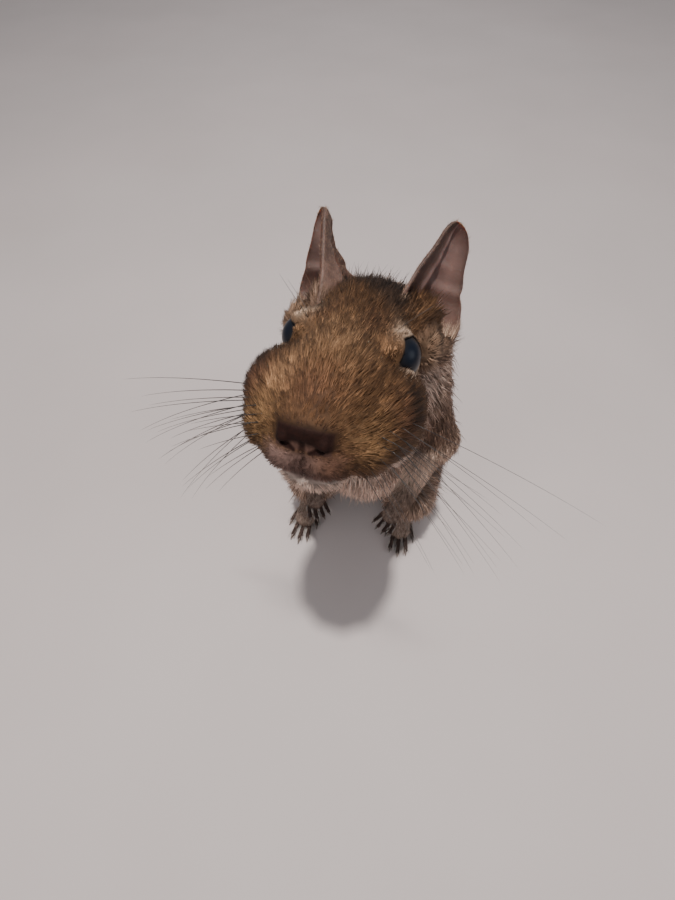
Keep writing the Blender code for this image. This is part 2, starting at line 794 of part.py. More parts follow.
def whisker(path):
    """A thin tapered feeler down a path, ending in a point."""
    sides = WHISKER_SIDES
    verts = []
    faces = []
    rings = len(path) - 1
    for i in range(rings):
        ahead = unit(path[i + 1] - path[i])
        across = unit(np.cross(ahead, (0.1, 0.3, 1.0)))
        rise = np.cross(across, ahead)
        size = WHISKER_RADIUS * (1 - WHISKER_TAPER * i / rings)
        for j in range(sides):
            turn = 2 * math.pi * j / sides
            verts.append(path[i] + (across * math.cos(turn) + rise * math.sin(turn)) * size)
    verts.append(path[-1])
    faces.append(tuple(range(sides))[::-1])
    for i in range(rings - 1):
        for j in range(sides):
            k = (j + 1) % sides
            faces.append((i * sides + j, i * sides + k, (i + 1) * sides + k, (i + 1) * sides + j))
    base = (rings - 1) * sides
    for j in range(sides):
        faces.append((base + j, base + (j + 1) % sides, len(verts) - 1))
    return verts, faces


def paint(thing, colour, roughness):
    material = bpy.data.materials.new(thing.name + "_look")
    material.use_nodes = True
    shader = material.node_tree.nodes["Principled BSDF"]
    shader.inputs["Base Color"].default_value = (*colour, 1.0)
    shader.inputs["Roughness"].default_value = roughness
    thing.data.materials.clear()
    thing.data.materials.append(material)


def build_head(parts):
    neck_back = unit(HEAD_TURN[:, 1] - np.array((0, 0, HEAD_CUT_DROP)))
    neck_place = from_head(HEAD_CUT)

    def whole(points):
        d = blend(head_form(points), trunk_form(points), HEAD_BLEND)
        beyond = (points - neck_place) @ neck_back - 3.0
        return np.maximum(d, beyond)

    def head_shape(points):
        d = ear_hollow(points, eye_details(points, whole(points)))
        near = SNOUT_CUT_Y - 2.0 - to_head(points)[:, 1]
        return np.maximum(d, near)

    def snout_shape(points):
        d = snout_details(points, whole(points))
        far = to_head(points)[:, 1] - SNOUT_CUT_Y - 2.0
        return np.maximum(d, far)

    centre = from_head((0, 26, 0))
    head = solid_of("head", head_shape, centre - 30, centre + 30, STEPS["head"], FACETS["head"])
    slice_off(head, neck_place - neck_back * GAP / 2, neck_back)
    centre = from_head((0, 6, -1))
    snout = solid_of("snout", snout_shape, centre - 18, centre + 18, STEPS["snout"],
                     FACETS["snout"])
    back = HEAD_TURN[:, 1]
    cut = from_head((0, SNOUT_CUT_Y, 0))
    slice_off(head, cut + back * GAP / 2, -back)
    slice_off(snout, cut - back * GAP / 2, back)
    parts["head"] = head
    parts["snout"] = snout

    ear_cutter = grow(copy_of(head, "cutter"), CUTTER_GROWTH)
    for name, side, root, tip, face in (
            ("ear_left", 1, EAR_ROOT_LEFT, EAR_TIP_LEFT, EAR_FACE_LEFT),
            ("ear_right", -1, EAR_ROOT_RIGHT, EAR_TIP_RIGHT, EAR_FACE_RIGHT)):
        leaf = ear(name, side, root, tip, face)
        combine(leaf, ear_cutter, "DIFFERENCE", drop=False)
        parts[name] = leaf
    bpy.data.objects.remove(ear_cutter, do_unlink=True)
    for name, side in (("eye_left", 1), ("eye_right", -1)):
        centre = from_head((EYE_CENTRE[0] * side, EYE_CENTRE[1], EYE_CENTRE[2]))
        socket = sphere("cutter", centre, EYE_RADIUS + GAP)
        combine(head, socket, "DIFFERENCE")
        parts[name] = sphere(name, centre, EYE_RADIUS)
    return neck_place, neck_back


def add_whiskers(snout):
    rng = random.Random(11)
    for side in (1, -1):
        for n in range(WHISKERS_A_SIDE):
            column, row = divmod(n, WHISKER_ROWS)
            root = np.array((side * (WHISKER_ROOT[0] + column * WHISKER_COLUMN_STEP[0]),
                             WHISKER_ROOT[1] + column * WHISKER_COLUMN_STEP[1],
                             WHISKER_ROOT[2] - row * WHISKER_ROW_STEP))
            length = WHISKER_LENGTH * (0.55 + 0.2 * column + 0.12 * rng.random())
            angle = WHISKER_FIRST_ANGLE - row * WHISKER_ROW_ANGLE + rng.uniform(-4, 4)
            spread = math.radians(angle)
            back = 0.08 + 0.16 * column + rng.uniform(-0.06, 0.06)
            way = unit((side * math.cos(spread), back, math.sin(spread)))
            bend = np.array(WHISKER_BEND) * (side, 1, 1) * length
            path = []
            for k in range(WHISKER_RINGS):
                t = k / (WHISKER_RINGS - 1)
                reach = (length + WHISKER_SUNK) * t - WHISKER_SUNK
                path.append(from_head(root + way * reach + bend * t ** 2))
            verts, faces = whisker(path)
            hair = add_object("whisker", verts, faces)
            set_outward(hair)
            combine(snout, hair, "UNION")


def build_body(parts, neck_place, neck_back):
    def form_with_neck(points):
        d = body_form(points)
        beyond = -3.0 - (points - neck_place) @ neck_back
        return np.maximum(d, beyond)

    body = solid_of("abdomen", form_with_neck, (-46, -66, -6), (46, 52, 126), STEPS["body"],
                    FACETS["body"])
    slice_off(body, neck_place + neck_back * GAP / 2, -neck_back)
    slice_off(body, (0, 0, 0), (0, 0, -1))
    for label, side in (("left", 1), ("right", -1)):
        low = np.array((-8.0 if side > 0 else -48.0, -58.0, -8.0))
        high = low + np.array((56.0, 100.0, 116.0))

        foot = solid_of("hind_foot_" + label, lambda p: foot_form(p, side),
                        low, (high[0], 20.0, 20.0), STEPS["hind_foot"], FACETS["hind_foot"])
        hand = solid_of("forepaw_" + label, lambda p: hand_form(p, side), low + (0, 0, 36),
                        (high[0], -20.0, 66.0), STEPS["forepaw"], FACETS["forepaw"])
        limbs = (("thigh_", haunch_form, HAUNCH_CUT, foot), ("foreleg_", arm_form, ARM_CUT, hand))
        for name, shape, reach, end in limbs:
            keep = solid_of("cutter", lambda p: shape(p, side) - reach, low, high,
                            STEPS["cutter"], FACETS["cutter"])
            clear = grow(copy_of(keep, "cutter"), CUTTER_GROWTH)
            end_clear = grow(copy_of(end, "cutter"), CUTTER_GROWTH)
            limb = copy_of(body, name + label)
            combine(limb, keep, "INTERSECT")
            combine(limb, end_clear, "DIFFERENCE", drop=False)
            combine(body, clear, "DIFFERENCE")
            combine(body, end_clear, "DIFFERENCE")
            parts[name + label] = limb
        slice_off(foot, (0, 0, 0), (0, 0, -1))
        parts["hind_foot_" + label] = foot
        parts["forepaw_" + label] = hand
    return body


def build_tail(parts, body):
    path = smooth_path(TAIL_PATH, TAIL_STEPS)
    shares = np.arange(len(path)) / TAIL_STEPS
    radii = list(np.interp(shares, range(len(TAIL_RADII)), TAIL_RADII))
    tail = tube("tail_base", path, radii, TAIL_SIDES)
    slice_off(tail, (0, 0, 0), (0, 0, -1))
    sunk = TAIL_STEPS * TAIL_CUTS[0] - 1
    clear = tube("cutter", path[:sunk], radii[:sunk], TAIL_SIDES, CUTTER_GROWTH)
    combine(body, clear, "DIFFERENCE")
    parts["tail_base"] = tail
    rest = tail
    for name, index in zip(("tail_middle", "tail_tuft"), TAIL_CUTS):
        along = np.subtract(TAIL_PATH[index + 1], TAIL_PATH[index])
        rest = part_at(rest, TAIL_PATH[index], along, name)
        parts[name] = rest
    add_tuft(rest)


def add_tuft(tuft):
    """Overlapping flat locks round the last length of the tail."""
    rng = random.Random(7)
    path = smooth_path(TAIL_PATH[TAIL_CUTS[1]:], 2 * TAIL_STEPS)
    last = len(path) - 2
    for n in range(TUFT_RINGS):
        share = (n + 0.35) / TUFT_RINGS
        index = max(1, int(share * last))
        ahead = unit(path[index + 1] - path[index])
        across = unit(np.cross(ahead, (0.0, 0.0, 1.0)))
        rise = np.cross(across, ahead)
        for k in range(TUFT_LOCKS_A_RING):
            turn = 2 * math.pi * (k + 0.5 * (n % 2)) / TUFT_LOCKS_A_RING + rng.uniform(-0.2, 0.2)
            out = across * math.cos(turn) + rise * math.sin(turn)
            length = TUFT_LOCK_LENGTH * rng.uniform(0.8, 1.1) * (1.0 - 0.25 * share)
            root = path[index] + out * 0.9
            way = ahead + out * rng.uniform(*TUFT_SPLAY)
            if out[2] < 0:
                way[2] = max(way[2], -(root[2] - TUFT_FLOOR) / length)
            verts, faces = lock(root, way, length)
            hair = add_object("lock", verts, faces)
            set_outward(hair)
            combine(tuft, hair, "UNION")
    slice_off(tuft, (0, 0, 0), (0, 0, -1))


def look_of(name):
    for start, look in LOOKS.items():
        if name.startswith(start):
            return look
    return FUR


def finish(name, thing, root):
    """Move a solid into place at its real size, shade it and colour it."""
    thing.name = name
    thing.data.name = name
    thing.data.transform(Matrix.Translation(Vector(ROOT_SHIFT)))
    thing.data.transform(Matrix.Scale(MM, 4))
    thing.data.shade_smooth()
    thing.data.set_sharp_from_angle(angle=math.radians(SMOOTH_ANGLE))
    paint(thing, *look_of(name))
    thing.parent = root


def main():
    clear_scene()
    parts = {}
    neck_place, neck_back = build_head(parts)
    add_whiskers(parts["snout"])
    body = build_body(parts, neck_place, neck_back)
    build_tail(parts, body)
    parts["abdomen"] = body
    parts["chest"] = part_at(body, *CHEST_CUT, "chest")
    parts["neck"] = part_at(parts["chest"], *NECK_CUT, "neck")
    root = bpy.data.objects.new("degu", None)
    bpy.context.scene.collection.objects.link(root)
    for name, thing in parts.items():
        finish(name, thing, root)


main()
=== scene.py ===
"""Looks of a degu sitting upright on its haunches: skin, coat, eyes, ears and tail tuft.

Forms are written in millimetres in a frame whose floor is z = 0, with the animal
facing -Y and its own left side on +X, and are moved into the model's frame in metres
when they become meshes.  The head has its own frame: the nose tip is its origin,
y runs back and z runs up.
"""

import math

import bmesh
import bpy
import numpy as np
from mathutils import Matrix, Vector
from mathutils.kdtree import KDTree


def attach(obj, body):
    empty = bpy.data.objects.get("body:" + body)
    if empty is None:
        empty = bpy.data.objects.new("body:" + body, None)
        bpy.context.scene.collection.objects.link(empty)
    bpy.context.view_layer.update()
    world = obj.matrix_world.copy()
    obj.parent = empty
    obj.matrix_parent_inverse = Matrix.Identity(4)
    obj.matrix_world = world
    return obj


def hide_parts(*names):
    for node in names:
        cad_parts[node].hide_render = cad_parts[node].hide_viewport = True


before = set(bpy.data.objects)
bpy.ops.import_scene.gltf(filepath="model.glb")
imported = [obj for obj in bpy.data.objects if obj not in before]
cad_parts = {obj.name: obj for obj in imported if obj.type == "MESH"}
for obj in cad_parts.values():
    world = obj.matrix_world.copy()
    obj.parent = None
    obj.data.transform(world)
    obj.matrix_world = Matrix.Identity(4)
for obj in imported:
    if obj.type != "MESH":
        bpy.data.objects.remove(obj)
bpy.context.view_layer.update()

# Scale and place of the forms in the model's frame
MM = 0.001
ROOT_SHIFT = np.array((-1.2, -27.7, 0.0))
RNG = np.random.default_rng(20)

# Camera, in the forms' frame
CAMERA_PLACE = (9.5, -99.6, 177.0)
CAMERA_DOWN = 57.0
CAMERA_TURN = 12.0
PHOTO_SIZE = (675, 900)
FOCAL_PIXELS = 440.0
SENSOR = 36.0

# Head: place of the nose tip and turn of the head
NOSE_TIP = np.array((-2.4, -68.2, 126.4))
HEAD_YAW = -6.9
HEAD_PITCH = -22.5
HEAD_ROLL = -1.9

# Forms of the head: centre, radii and how softly each joins the ones before it
SKULL = ((0.0, 32.0, 2.6), (12.4, 16.5, 12.5))
HEAD_FORMS = {
    "bridge": ((0.0, 19.0, 2.4), (10.2, 15.0, 9.6), 4.0),
    "muzzle": ((0.0, 9.5, 0.2), (8.6, 9.0, 7.0), 4.0),
    "cheek": ((9.0, 21.0, -4.6), (6.4, 11.0, 8.0), 4.0),
    "whisker_pad": ((7.1, 9.6, -2.2), (5.8, 7.4, 6.0), 3.0),
    "cheekbone": ((8.4, 15.5, 1.0), (6.8, 9.0, 6.2), 3.0),
    "throat": ((0.0, 16.0, -8.4), (8.0, 12.0, 5.2), 4.0),
    "brow": ((8.0, 21.5, 9.6), (2.6, 5.0, 2.0), 3.0),
    "ear_mound": ((9.4, 36.5, 7.2), (4.4, 5.2, 5.4), 4.0),
}
SNOUT_FORMS = {
    "nose_bar": ((0.0, 3.2, 1.8), (4.3, 2.8, 2.0), 1.5),
    "nostril_wing": ((3.0, 2.2, 0.4), (1.2, 2.0, 1.4), 0.8),
    "nostril_rim": ((1.0, 2.0, -0.9), (0.7, 1.5, 0.7), 0.8),
    "upper_lip": ((2.9, 4.0, -3.3), (4.0, 3.8, 3.1), 1.6),
    "lower_jaw": ((0.0, 6.8, -7.9), (5.2, 4.4, 2.9), 1.4),
    "lower_lip": ((0.0, 4.6, -7.5), (3.2, 2.2, 1.4), 0.8),
}
SNOUT_GROOVES = {
    "nostril": ((1.3, 0.1, -0.85), (2.3, 0.35, -0.5), (0.3, 0.52), 0.2),
    "nostril_slit": ((2.3, 0.35, -0.5), (3.6, 1.2, 0.2), (0.5, 0.24), 0.2),
    "philtrum": ((0.0, 0.2, 0.4), (0.0, 0.1, -4.8), (0.32, 0.3), 0.3),
    "mouth_front": ((0.0, 0.8, -6.1), (3.2, 2.6, -7.0), (0.42, 0.4), 0.4),
    "mouth_corner": ((3.2, 2.6, -7.0), (5.2, 6.4, -7.6), (0.4, 0.3), 0.4),
}
EAR_HOLLOW = ((13.2, 33.8, 10.6), (1.3, 1.6, 2.0))
EAR_LOBE = ((14.3, 32.6, 5.2), (1.6, 2.2, 2.4))
EAR_FRONT_FOLD = ((12.4, 29.6, 6.4), (1.9, 2.8, 3.4))

# Eyes, in the head's frame
EYE_RADIUS = 4.0
EYE_CENTRE = np.array((8.0, 22.0, 6.8))
EYE_AXIS = np.array((0.80, -0.42, 0.42))
EYE_OPENING = (2.95, 3.1)
RIGHT_LID_TOP = 1.75
LID_WIDTH = 1.2
LID_THICK = 0.3

# Ears, in the head's frame
EAR_HALF_WIDTH = 6.6
EAR_ROOTS = {1: (10.4, 32.0, 5.0), -1: (-11.8, 32.0, 5.0)}
EAR_TIPS = {1: (12.3, 43.4, 25.1), -1: (-13.2, 41.0, 24.6)}
EAR_FACES = {1: (0.68, -0.73, 0.1), -1: (-0.85, -0.53, 0.1)}
EAR_THICK_ROOT = 1.4
EAR_THICK_RIM = 0.62
EAR_ROWS = 64
EAR_COLUMNS = 44
EAR_CUP_ROOT = 215.0
EAR_CUP_TIP = 80.0
EAR_ARCH = {1: 1.6, -1: -0.3}
EAR_DEEPER = {1: 1.0, -1: 1.6}
EAR_SWEEP = 1.5
EAR_RIM_FOLD = 0.5
EAR_FRONT = (0.75, 0.88, 0.2, 0.3)
EAR_REAR = (1.1, 1.4, 0.34, 0.6)
EAR_TIP_ROUND = 0.14

# Trunk: centre and radii of each form
BODY_LEAN = 1.5
TRUNK = (
    ((0.0, 14.0, 27.5), (28.0, 26.0, 29.0)),
    ((0.0, -1.0, 46.0), (26.0, 29.5, 29.5)),
    ((0.0, -7.5, 73.5), (24.5, 24.5, 25.0)),
    ((0.0, -16.0, 89.5), (20.0, 17.0, 16.0)),
)
NECK_ENDS = ((0.0, -13.0, 92.0), (-0.5, -25.0, 106.0))
NECK_RADII = (16.5, 13.0)
TRUNK_BLEND = 9.0
NECK_BLEND = 7.0
HEAD_BLEND = 6.0
HAUNCH_BLEND = 5.0
KNEE_BLEND = 6.0
ARM_BLEND = 3.0
ELBOW_BLEND = 4.0

# Hind leg, left side; the right side mirrors it
HIP = (17.0, 12.0, 32.0)
KNEE = (18.6, -19.5, 29.0)
ANKLE = (18.6, -4.5, 9.0)
HAUNCH_RADII = (16.0, 9.0)
SHANK_RADII = (8.0, 6.0)
HEEL = (18.4, -2.0, 3.5)
TOE_ROOT = (19.6, -24.5, 3.2)
FOOT_STEP = {1: (0.4, 2.2, 0.0), -1: (-0.6, -0.6, 0.0)}
FOOT_RADII = (4.6, 4.2)
FOOT_SQUASH = 0.8
HEEL_RADII = (4.4, 4.2)
TOE_SPREAD = (-14.0, -7.0, 0.0, 7.0, 15.0)
TOE_LENGTH = (5.6, 8.6, 9.6, 9.0, 6.2)
TOE_SET = (-3.9, -2.1, 0.0, 2.1, 3.9)
TOE_BACK = (4.0, 0.6, 0.0, 0.5, 3.6)
TOE_RADIUS = 1.2
TOE_BEND = 0.55
CLAW_LENGTH = 3.0

# Foreleg, left side
SHOULDER = (13.0, -18.0, 85.5)
ELBOW = (22.0, -16.0, 63.0)
WRIST = (15.0, -33.5, 52.5)
KNUCKLES = (12.4, -38.0, 47.5)
UPPER_ARM_RADII = (9.0, 7.5)
FOREARM_RADII = (6.2, 4.0)
HAND_RADII = (3.1, 3.0)
FINGER_SPREAD = (-11.0, -4.0, 4.0, 11.0)
FINGER_SET = (-2.5, -0.85, 0.85, 2.5)
FINGER_LENGTH = (3.6, 4.5, 4.6, 3.7)
FINGER_RADIUS = 0.95
FORE_CLAW_LENGTH = 2.0

# Tail: points down its middle and the radius at each
TAIL_PATH = (
    (0.0, 26.0, 16.0), (0.3, 36.0, 10.5), (1.2, 46.0, 6.2), (3.2, 57.0, 3.7),
    (6.4, 70.0, 2.9), (10.2, 83.0, 2.6), (14.2, 96.0, 2.5), (17.6, 109.0, 3.0),
    (19.6, 119.0, 3.8),
)
TAIL_RADII = (5.2, 4.6, 3.9, 3.3, 2.9, 2.6, 2.5, 2.4, 1.6)

# How far the skin lies inside the coat's outer surface, by part of the body
COAT_DEPTH = {
    "head": 0.9, "nape": 2.2, "trunk": 3.6, "haunch": 3.2, "shank": 1.3, "foot": 0.3,
    "arm": 2.4, "forearm": 1.0, "hand": 0.25, "tail": 0.9,
}
# Hair by part: length, width, share of lift off the skin, hairs in a square millimetre
HAIR = {
    "head": (3.3, 0.27, 0.42, 14.0), "nape": (5.6, 0.27, 0.36, 7.0),
    "trunk": (9.0, 0.36, 0.32, 3.7), "haunch": (8.0, 0.35, 0.32, 3.9),
    "shank": (3.6, 0.26, 0.34, 9.0), "foot": (1.5, 0.18, 0.26, 12.0),
    "arm": (5.4, 0.29, 0.34, 6.0), "forearm": (2.8, 0.23, 0.34, 10.0),
    "hand": (1.1, 0.16, 0.26, 12.0), "tail": (2.8, 0.23, 0.30, 9.0),
}
PARTS = tuple(COAT_DEPTH)


# Frames and small helpers

def unit(vector):
    vector = np.asarray(vector, float)
    return vector / np.maximum(np.linalg.norm(vector, axis=-1, keepdims=True), 1e-9)


HEAD_TURN = np.array(Matrix.Rotation(math.radians(HEAD_YAW), 3, "Z")
                     @ Matrix.Rotation(math.radians(HEAD_PITCH), 3, "X")
                     @ Matrix.Rotation(math.radians(HEAD_ROLL), 3, "Y"))


def to_head(points):
    return (points - NOSE_TIP) @ HEAD_TURN


def from_head(points):
    return NOSE_TIP + np.asarray(points, float) @ HEAD_TURN.T


def to_model(points):
    return (np.asarray(points, float) + ROOT_SHIFT) * MM


def mirror(point, side):
    return np.array((point[0] * side + BODY_LEAN, point[1], point[2]), float)


def foot_place(point, side):
    return np.array((point[0] * side, point[1], point[2])) + np.array(FOOT_STEP[side])


def folded(points):
    out = points.copy()
    out[:, 0] = np.abs(out[:, 0])
    return out


def ramp(value, start, stop):
    """0 before start, 1 after stop, with a smooth rise between."""
    t = np.clip((value - start) / (stop - start), 0.0, 1.0)
    return t * t * (3 - 2 * t)


def blob(points, centre, radii):
    """1 at the centre of a soft ellipsoid, falling to 0 past its radii."""
    offset = (points - np.array(centre)) / np.array(radii)
    return np.exp(-1.4 * (offset ** 2).sum(axis=1))


# Distance forms: negative inside, positive outside

def ball(points, centre, radii):
    offset = points - np.array(centre, float)
    radii = np.array(radii, float)
    near = np.linalg.norm(offset / radii, axis=1)
    slope = np.linalg.norm(offset / radii ** 2, axis=1)
    return near * (near - 1.0) / np.maximum(slope, 1e-9)


def bone(points, start, end, start_radius, end_radius):
    start = np.array(start, float)
    along = np.array(end, float) - start
    share = np.clip((points - start) @ along / (along @ along), 0.0, 1.0)
    spine = start + share[:, None] * along
    width = start_radius + (end_radius - start_radius) * share
    return np.linalg.norm(points - spine, axis=1) - width


def ring(points, centre, axis, radius, thickness):
    offset = points - np.array(centre, float)
    axis = unit(axis)
    height = offset @ axis
    around = np.linalg.norm(offset - height[:, None] * axis, axis=1)
    return np.hypot(around - radius, height) - thickness


def blend(first, second, width):
    share = np.clip(0.5 + 0.5 * (second - first) / width, 0.0, 1.0)
    return second * (1 - share) + first * share - width * share * (1 - share)


def carve(form, hollow, width):
    return -blend(-form, hollow, width)


def inside_box(points, low, high, form, far=12.0):
    """A form worked out only near its own place; elsewhere it is far away."""
    near = np.all((points > np.array(low)) & (points < np.array(high)), axis=1)
    d = np.full(len(points), far)
    if near.any():
        d[near] = form(points[near])
    return d


def head_form(points):
    a = folded(to_head(points))
    d = ball(a, *SKULL)
    for centre, radii, softness in HEAD_FORMS.values():
        d = blend(d, ball(a, centre, radii), softness)
    return d


def trunk_form(points):
    leaning = points - np.array((BODY_LEAN, 0.0, 0.0))
    d = ball(leaning, *TRUNK[0])
    soft = TRUNK_BLEND * (1 + 1.2 * ramp(points[:, 1], -20.0, 6.0))
    for centre, radii in TRUNK[1:]:
        d = blend(d, ball(leaning, centre, radii), soft)
    return d


def toe_bones(side):
    """Start, bend and tip of each hind toe."""
    heel = foot_place(HEEL, side)
    root = foot_place(TOE_ROOT, side)
    ahead = unit(root - heel)
    ahead[2] = 0.0
    up = np.array((0.0, 0.0, 1.0))
    across = unit(np.cross(up, ahead))
    for turn, length, offset, back in zip(TOE_SPREAD, TOE_LENGTH, TOE_SET, TOE_BACK):
        swing = math.radians(turn * side)
        start = root + across * offset * side - ahead * back
        start[2] = TOE_RADIUS - 0.1
        way = unit(ahead * math.cos(swing) + across * math.sin(swing))
        yield start, start + way * length * TOE_BEND + up * 0.6, start + way * length, way


def foot_form(points, side):
    heel = foot_place(HEEL, side)
    root = foot_place(TOE_ROOT, side)
    upright = np.array((1.0, 1.0, 1.0 / FOOT_SQUASH))
    d = bone(points * upright, heel * upright, root * upright, *FOOT_RADII)
    d = blend(d, bone(points, heel, foot_place(ANKLE, side), *HEEL_RADII), 3.0)
    for start, middle, tip, _ in toe_bones(side):
        d = blend(d, bone(points, start, middle, TOE_RADIUS, TOE_RADIUS - 0.1), 0.9)
        d = blend(d, bone(points, middle, tip, TOE_RADIUS - 0.1, TOE_RADIUS - 0.05), 0.4)
    return d


def finger_bones(side):
    """Start, bend and tip of each finger, and the way its claw points."""
    wrist = mirror(WRIST, side)
    knuckles = mirror(KNUCKLES, side)
    ahead = unit(knuckles - wrist)
    across = unit(np.cross((0.0, 0.0, 1.0), ahead))
    palm = np.cross(ahead, across)
    for turn, length, offset in zip(FINGER_SPREAD, FINGER_LENGTH, FINGER_SET):
        swing = math.radians(turn)
        start = knuckles + across * offset + ahead * 1.2
        way = unit(ahead * math.cos(swing) + across * math.sin(swing) + palm * 0.1)
        middle = start + way * length * TOE_BEND
        tip = middle + unit(way + palm * 0.75) * length * (1 - TOE_BEND)
        yield start, middle, tip, unit(way + palm * 1.3)


def hand_form(points, side):
    wrist = mirror(WRIST, side)
    knuckles = mirror(KNUCKLES, side)
    ahead = unit(knuckles - wrist)
    across = unit(np.cross((0.0, 0.0, 1.0), ahead))
    palm = np.cross(ahead, across)
    d = bone(points, wrist + ahead * 0.5, knuckles, *HAND_RADII)
    for start, middle, tip, _ in finger_bones(side):
        d = blend(d, bone(points, start, middle, FINGER_RADIUS, FINGER_RADIUS - 0.1), 0.7)
        d = blend(d, bone(points, middle, tip, FINGER_RADIUS - 0.12, FINGER_RADIUS - 0.1), 0.25)
    thumb = knuckles - ahead * 2.2 - across * 3.0 * side
    return blend(d, bone(points, thumb, thumb + palm * 1.6 + ahead, 1.0, 0.75), 0.8)


def smooth_path(points, steps):
    """Points of a rounded curve through the given points."""
    points = [np.array(p, float) for p in points]
    out = []
    for i in range(len(points) - 1):
        before = points[max(i - 1, 0)]
        start, stop = points[i], points[i + 1]
        after = points[min(i + 2, len(points) - 1)]
        for n in range(steps):
            t = n / steps
            out.append(0.5 * ((2 * start) + (stop - before) * t
                              + (2 * before - 5 * start + 4 * stop - after) * t ** 2
                              + (3 * start - before - 3 * stop + after) * t ** 3))
    out.append(points[-1])
    return out


TAIL_POINTS = smooth_path(TAIL_PATH, 3)
TAIL_WIDTHS = np.interp(np.arange(len(TAIL_POINTS)) / 3, range(len(TAIL_RADII)), TAIL_RADII)


def tail_form(points):
    d = np.full(len(points), 50.0)
    for i in range(len(TAIL_POINTS) - 1):
        d = np.minimum(d, bone(points, TAIL_POINTS[i], TAIL_POINTS[i + 1],
                               TAIL_WIDTHS[i], TAIL_WIDTHS[i + 1]))
    return d


def measure(points):
    """The coat's outer surface as one form, and the distance to each part of the body."""
    far = {name: np.full(len(points), 60.0) for name in PARTS}
    far["trunk"] = trunk_form(points)
    far["nape"] = bone(points, *NECK_ENDS, *NECK_RADII)
    far["head"] = head_form(points)
    soft = NECK_BLEND * (1 + 1.6 * ramp(points[:, 1], -22.0, 2.0))
    d = blend(far["trunk"], far["nape"], soft)
    for side in (1, -1):
        hip, knee, ankle = mirror(HIP, side), mirror(KNEE, side), foot_place(ANKLE, side)
        elbow = mirror(ELBOW, side)
        haunch = bone(points, hip, knee, *HAUNCH_RADII)
        shank = bone(points, knee, ankle, *SHANK_RADII)
        arm = bone(points, mirror(SHOULDER, side), elbow, *UPPER_ARM_RADII)
        forearm = bone(points, elbow, mirror(WRIST, side), *FOREARM_RADII)
        d = blend(d, blend(haunch, shank, KNEE_BLEND), HAUNCH_BLEND)
        d = blend(d, blend(arm, forearm, ELBOW_BLEND), ARM_BLEND)
        low = (-2.0 if side > 0 else -38.0, -48.0, -6.0)
        foot = inside_box(points, low, (low[0] + 40.0, 14.0, 22.0), lambda p: foot_form(p, side))
        hand = inside_box(points, (low[0], -56.0, 36.0), (low[0] + 40.0, -24.0, 62.0),
                          lambda p: hand_form(p, side))
        d = blend(blend(d, foot, 2.0), hand, 1.5)
        for name, value in (("haunch", haunch), ("shank", shank + 1.0), ("foot", foot),
                            ("arm", arm), ("forearm", forearm), ("hand", hand)):
            far[name] = np.minimum(far[name], value)
    d = blend(d, far["head"], HEAD_BLEND)
    far["tail"] = inside_box(points, (-14.0, 16.0, -6.0), (34.0, 132.0, 34.0), tail_form)
    d = blend(d, far["tail"], 6.0)
    return d, far


def shares(far):
    """How much each point belongs to each part, as weights that add up to one."""
    table = np.stack([far[name] for name in PARTS], axis=1)
    table = np.exp(-(table - table.min(axis=1, keepdims=True)) / 1.6)
    return table / table.sum(axis=1, keepdims=True)


def mix(weights, table, column=None):
    values = [table[name] if column is None else table[name][column] for name in PARTS]
    return weights @ np.array(values)


def nose_parts(q):
    """Shares of bare nose skin, of its dark bar, slits and philtrum, and of the lip pads; the slits are dark
    as painted shade inside the nostrils.
    """
    a = folded(q)
    past = np.maximum(a[:, 0] - 4.2, q[:, 2] - 2.9 + 0.04 * a[:, 0] ** 2)
    past = np.maximum(past, -q[:, 2] - 0.7 - 0.1 * a[:, 0])
    past = np.maximum(past, q[:, 1] - 4.0)
    leather = 1 - ramp(past, -0.15, 0.2)
    philtrum = 1 - ramp(bone(a, (0.0, 0.2, 0.6), (0.0, 0.3, -4.8), 0.42, 0.3), 0.0, 0.35)
    lips = 1 - ramp(bone(a, (0.0, 1.4, -6.2), (3.2, 3.4, -7.2), 0.45, 0.3), 0.0, 0.4)
    # The nostril slits are painted dark: painted shade inside the openings.
    slit = np.zeros(len(a))
    for name in ("nostril", "nostril_slit"):
        start, end, radii, _ = SNOUT_GROOVES[name]
        slit = np.maximum(slit, 1 - ramp(bone(a, start, end, *radii), 0.05, 0.35))
    bar = (1 - ramp(past, -0.4, 0.9)) * ramp(q[:, 2] + 0.3 * a[:, 0], 0.5, 1.1)
    dark = np.maximum(np.maximum(bar, slit), philtrum)
    pads = 1 - ramp(ball(a, (0.0, 3.0, -3.4), (6.2, 4.2, 3.2)), -0.4, 1.2)
    return np.maximum(np.maximum(leather, philtrum), np.maximum(slit, lips)), dark, pads


def eye_edge(q):
    """Distance from the eye's middle, and how far past the rim of its opening on the ball."""
    right = q[:, 0] < 0
    offset = folded(q) - EYE_CENTRE
    reach = np.linalg.norm(offset, axis=1)
    way = offset / np.maximum(reach, 1e-6)[:, None]
    axis = unit(EYE_AXIS)
    first = unit(np.cross((0.0, 0.0, 1.0), axis))
    second = np.cross(axis, first)
    u = way @ first * EYE_RADIUS - 0.2
    v = way @ second * EYE_RADIUS + 0.1
    edge = np.abs(u / EYE_OPENING[0]) ** 2.4 + np.abs(v / EYE_OPENING[1]) ** 2.4
    edge = (edge ** (1 / 2.4) - 1) * sum(EYE_OPENING) / 2
    edge = np.maximum(edge, -0.48 * u - 0.88 * v - 2.3)
    edge = np.maximum(edge, np.where(right, -9.0, np.maximum(-0.86 * u + 0.5 * v - 2.35, v - 2.65)))
    edge = np.maximum(edge, np.where(right, v - RIGHT_LID_TOP, -9.0))
    return reach, np.where(way @ axis > 0.15, edge, 9.0)


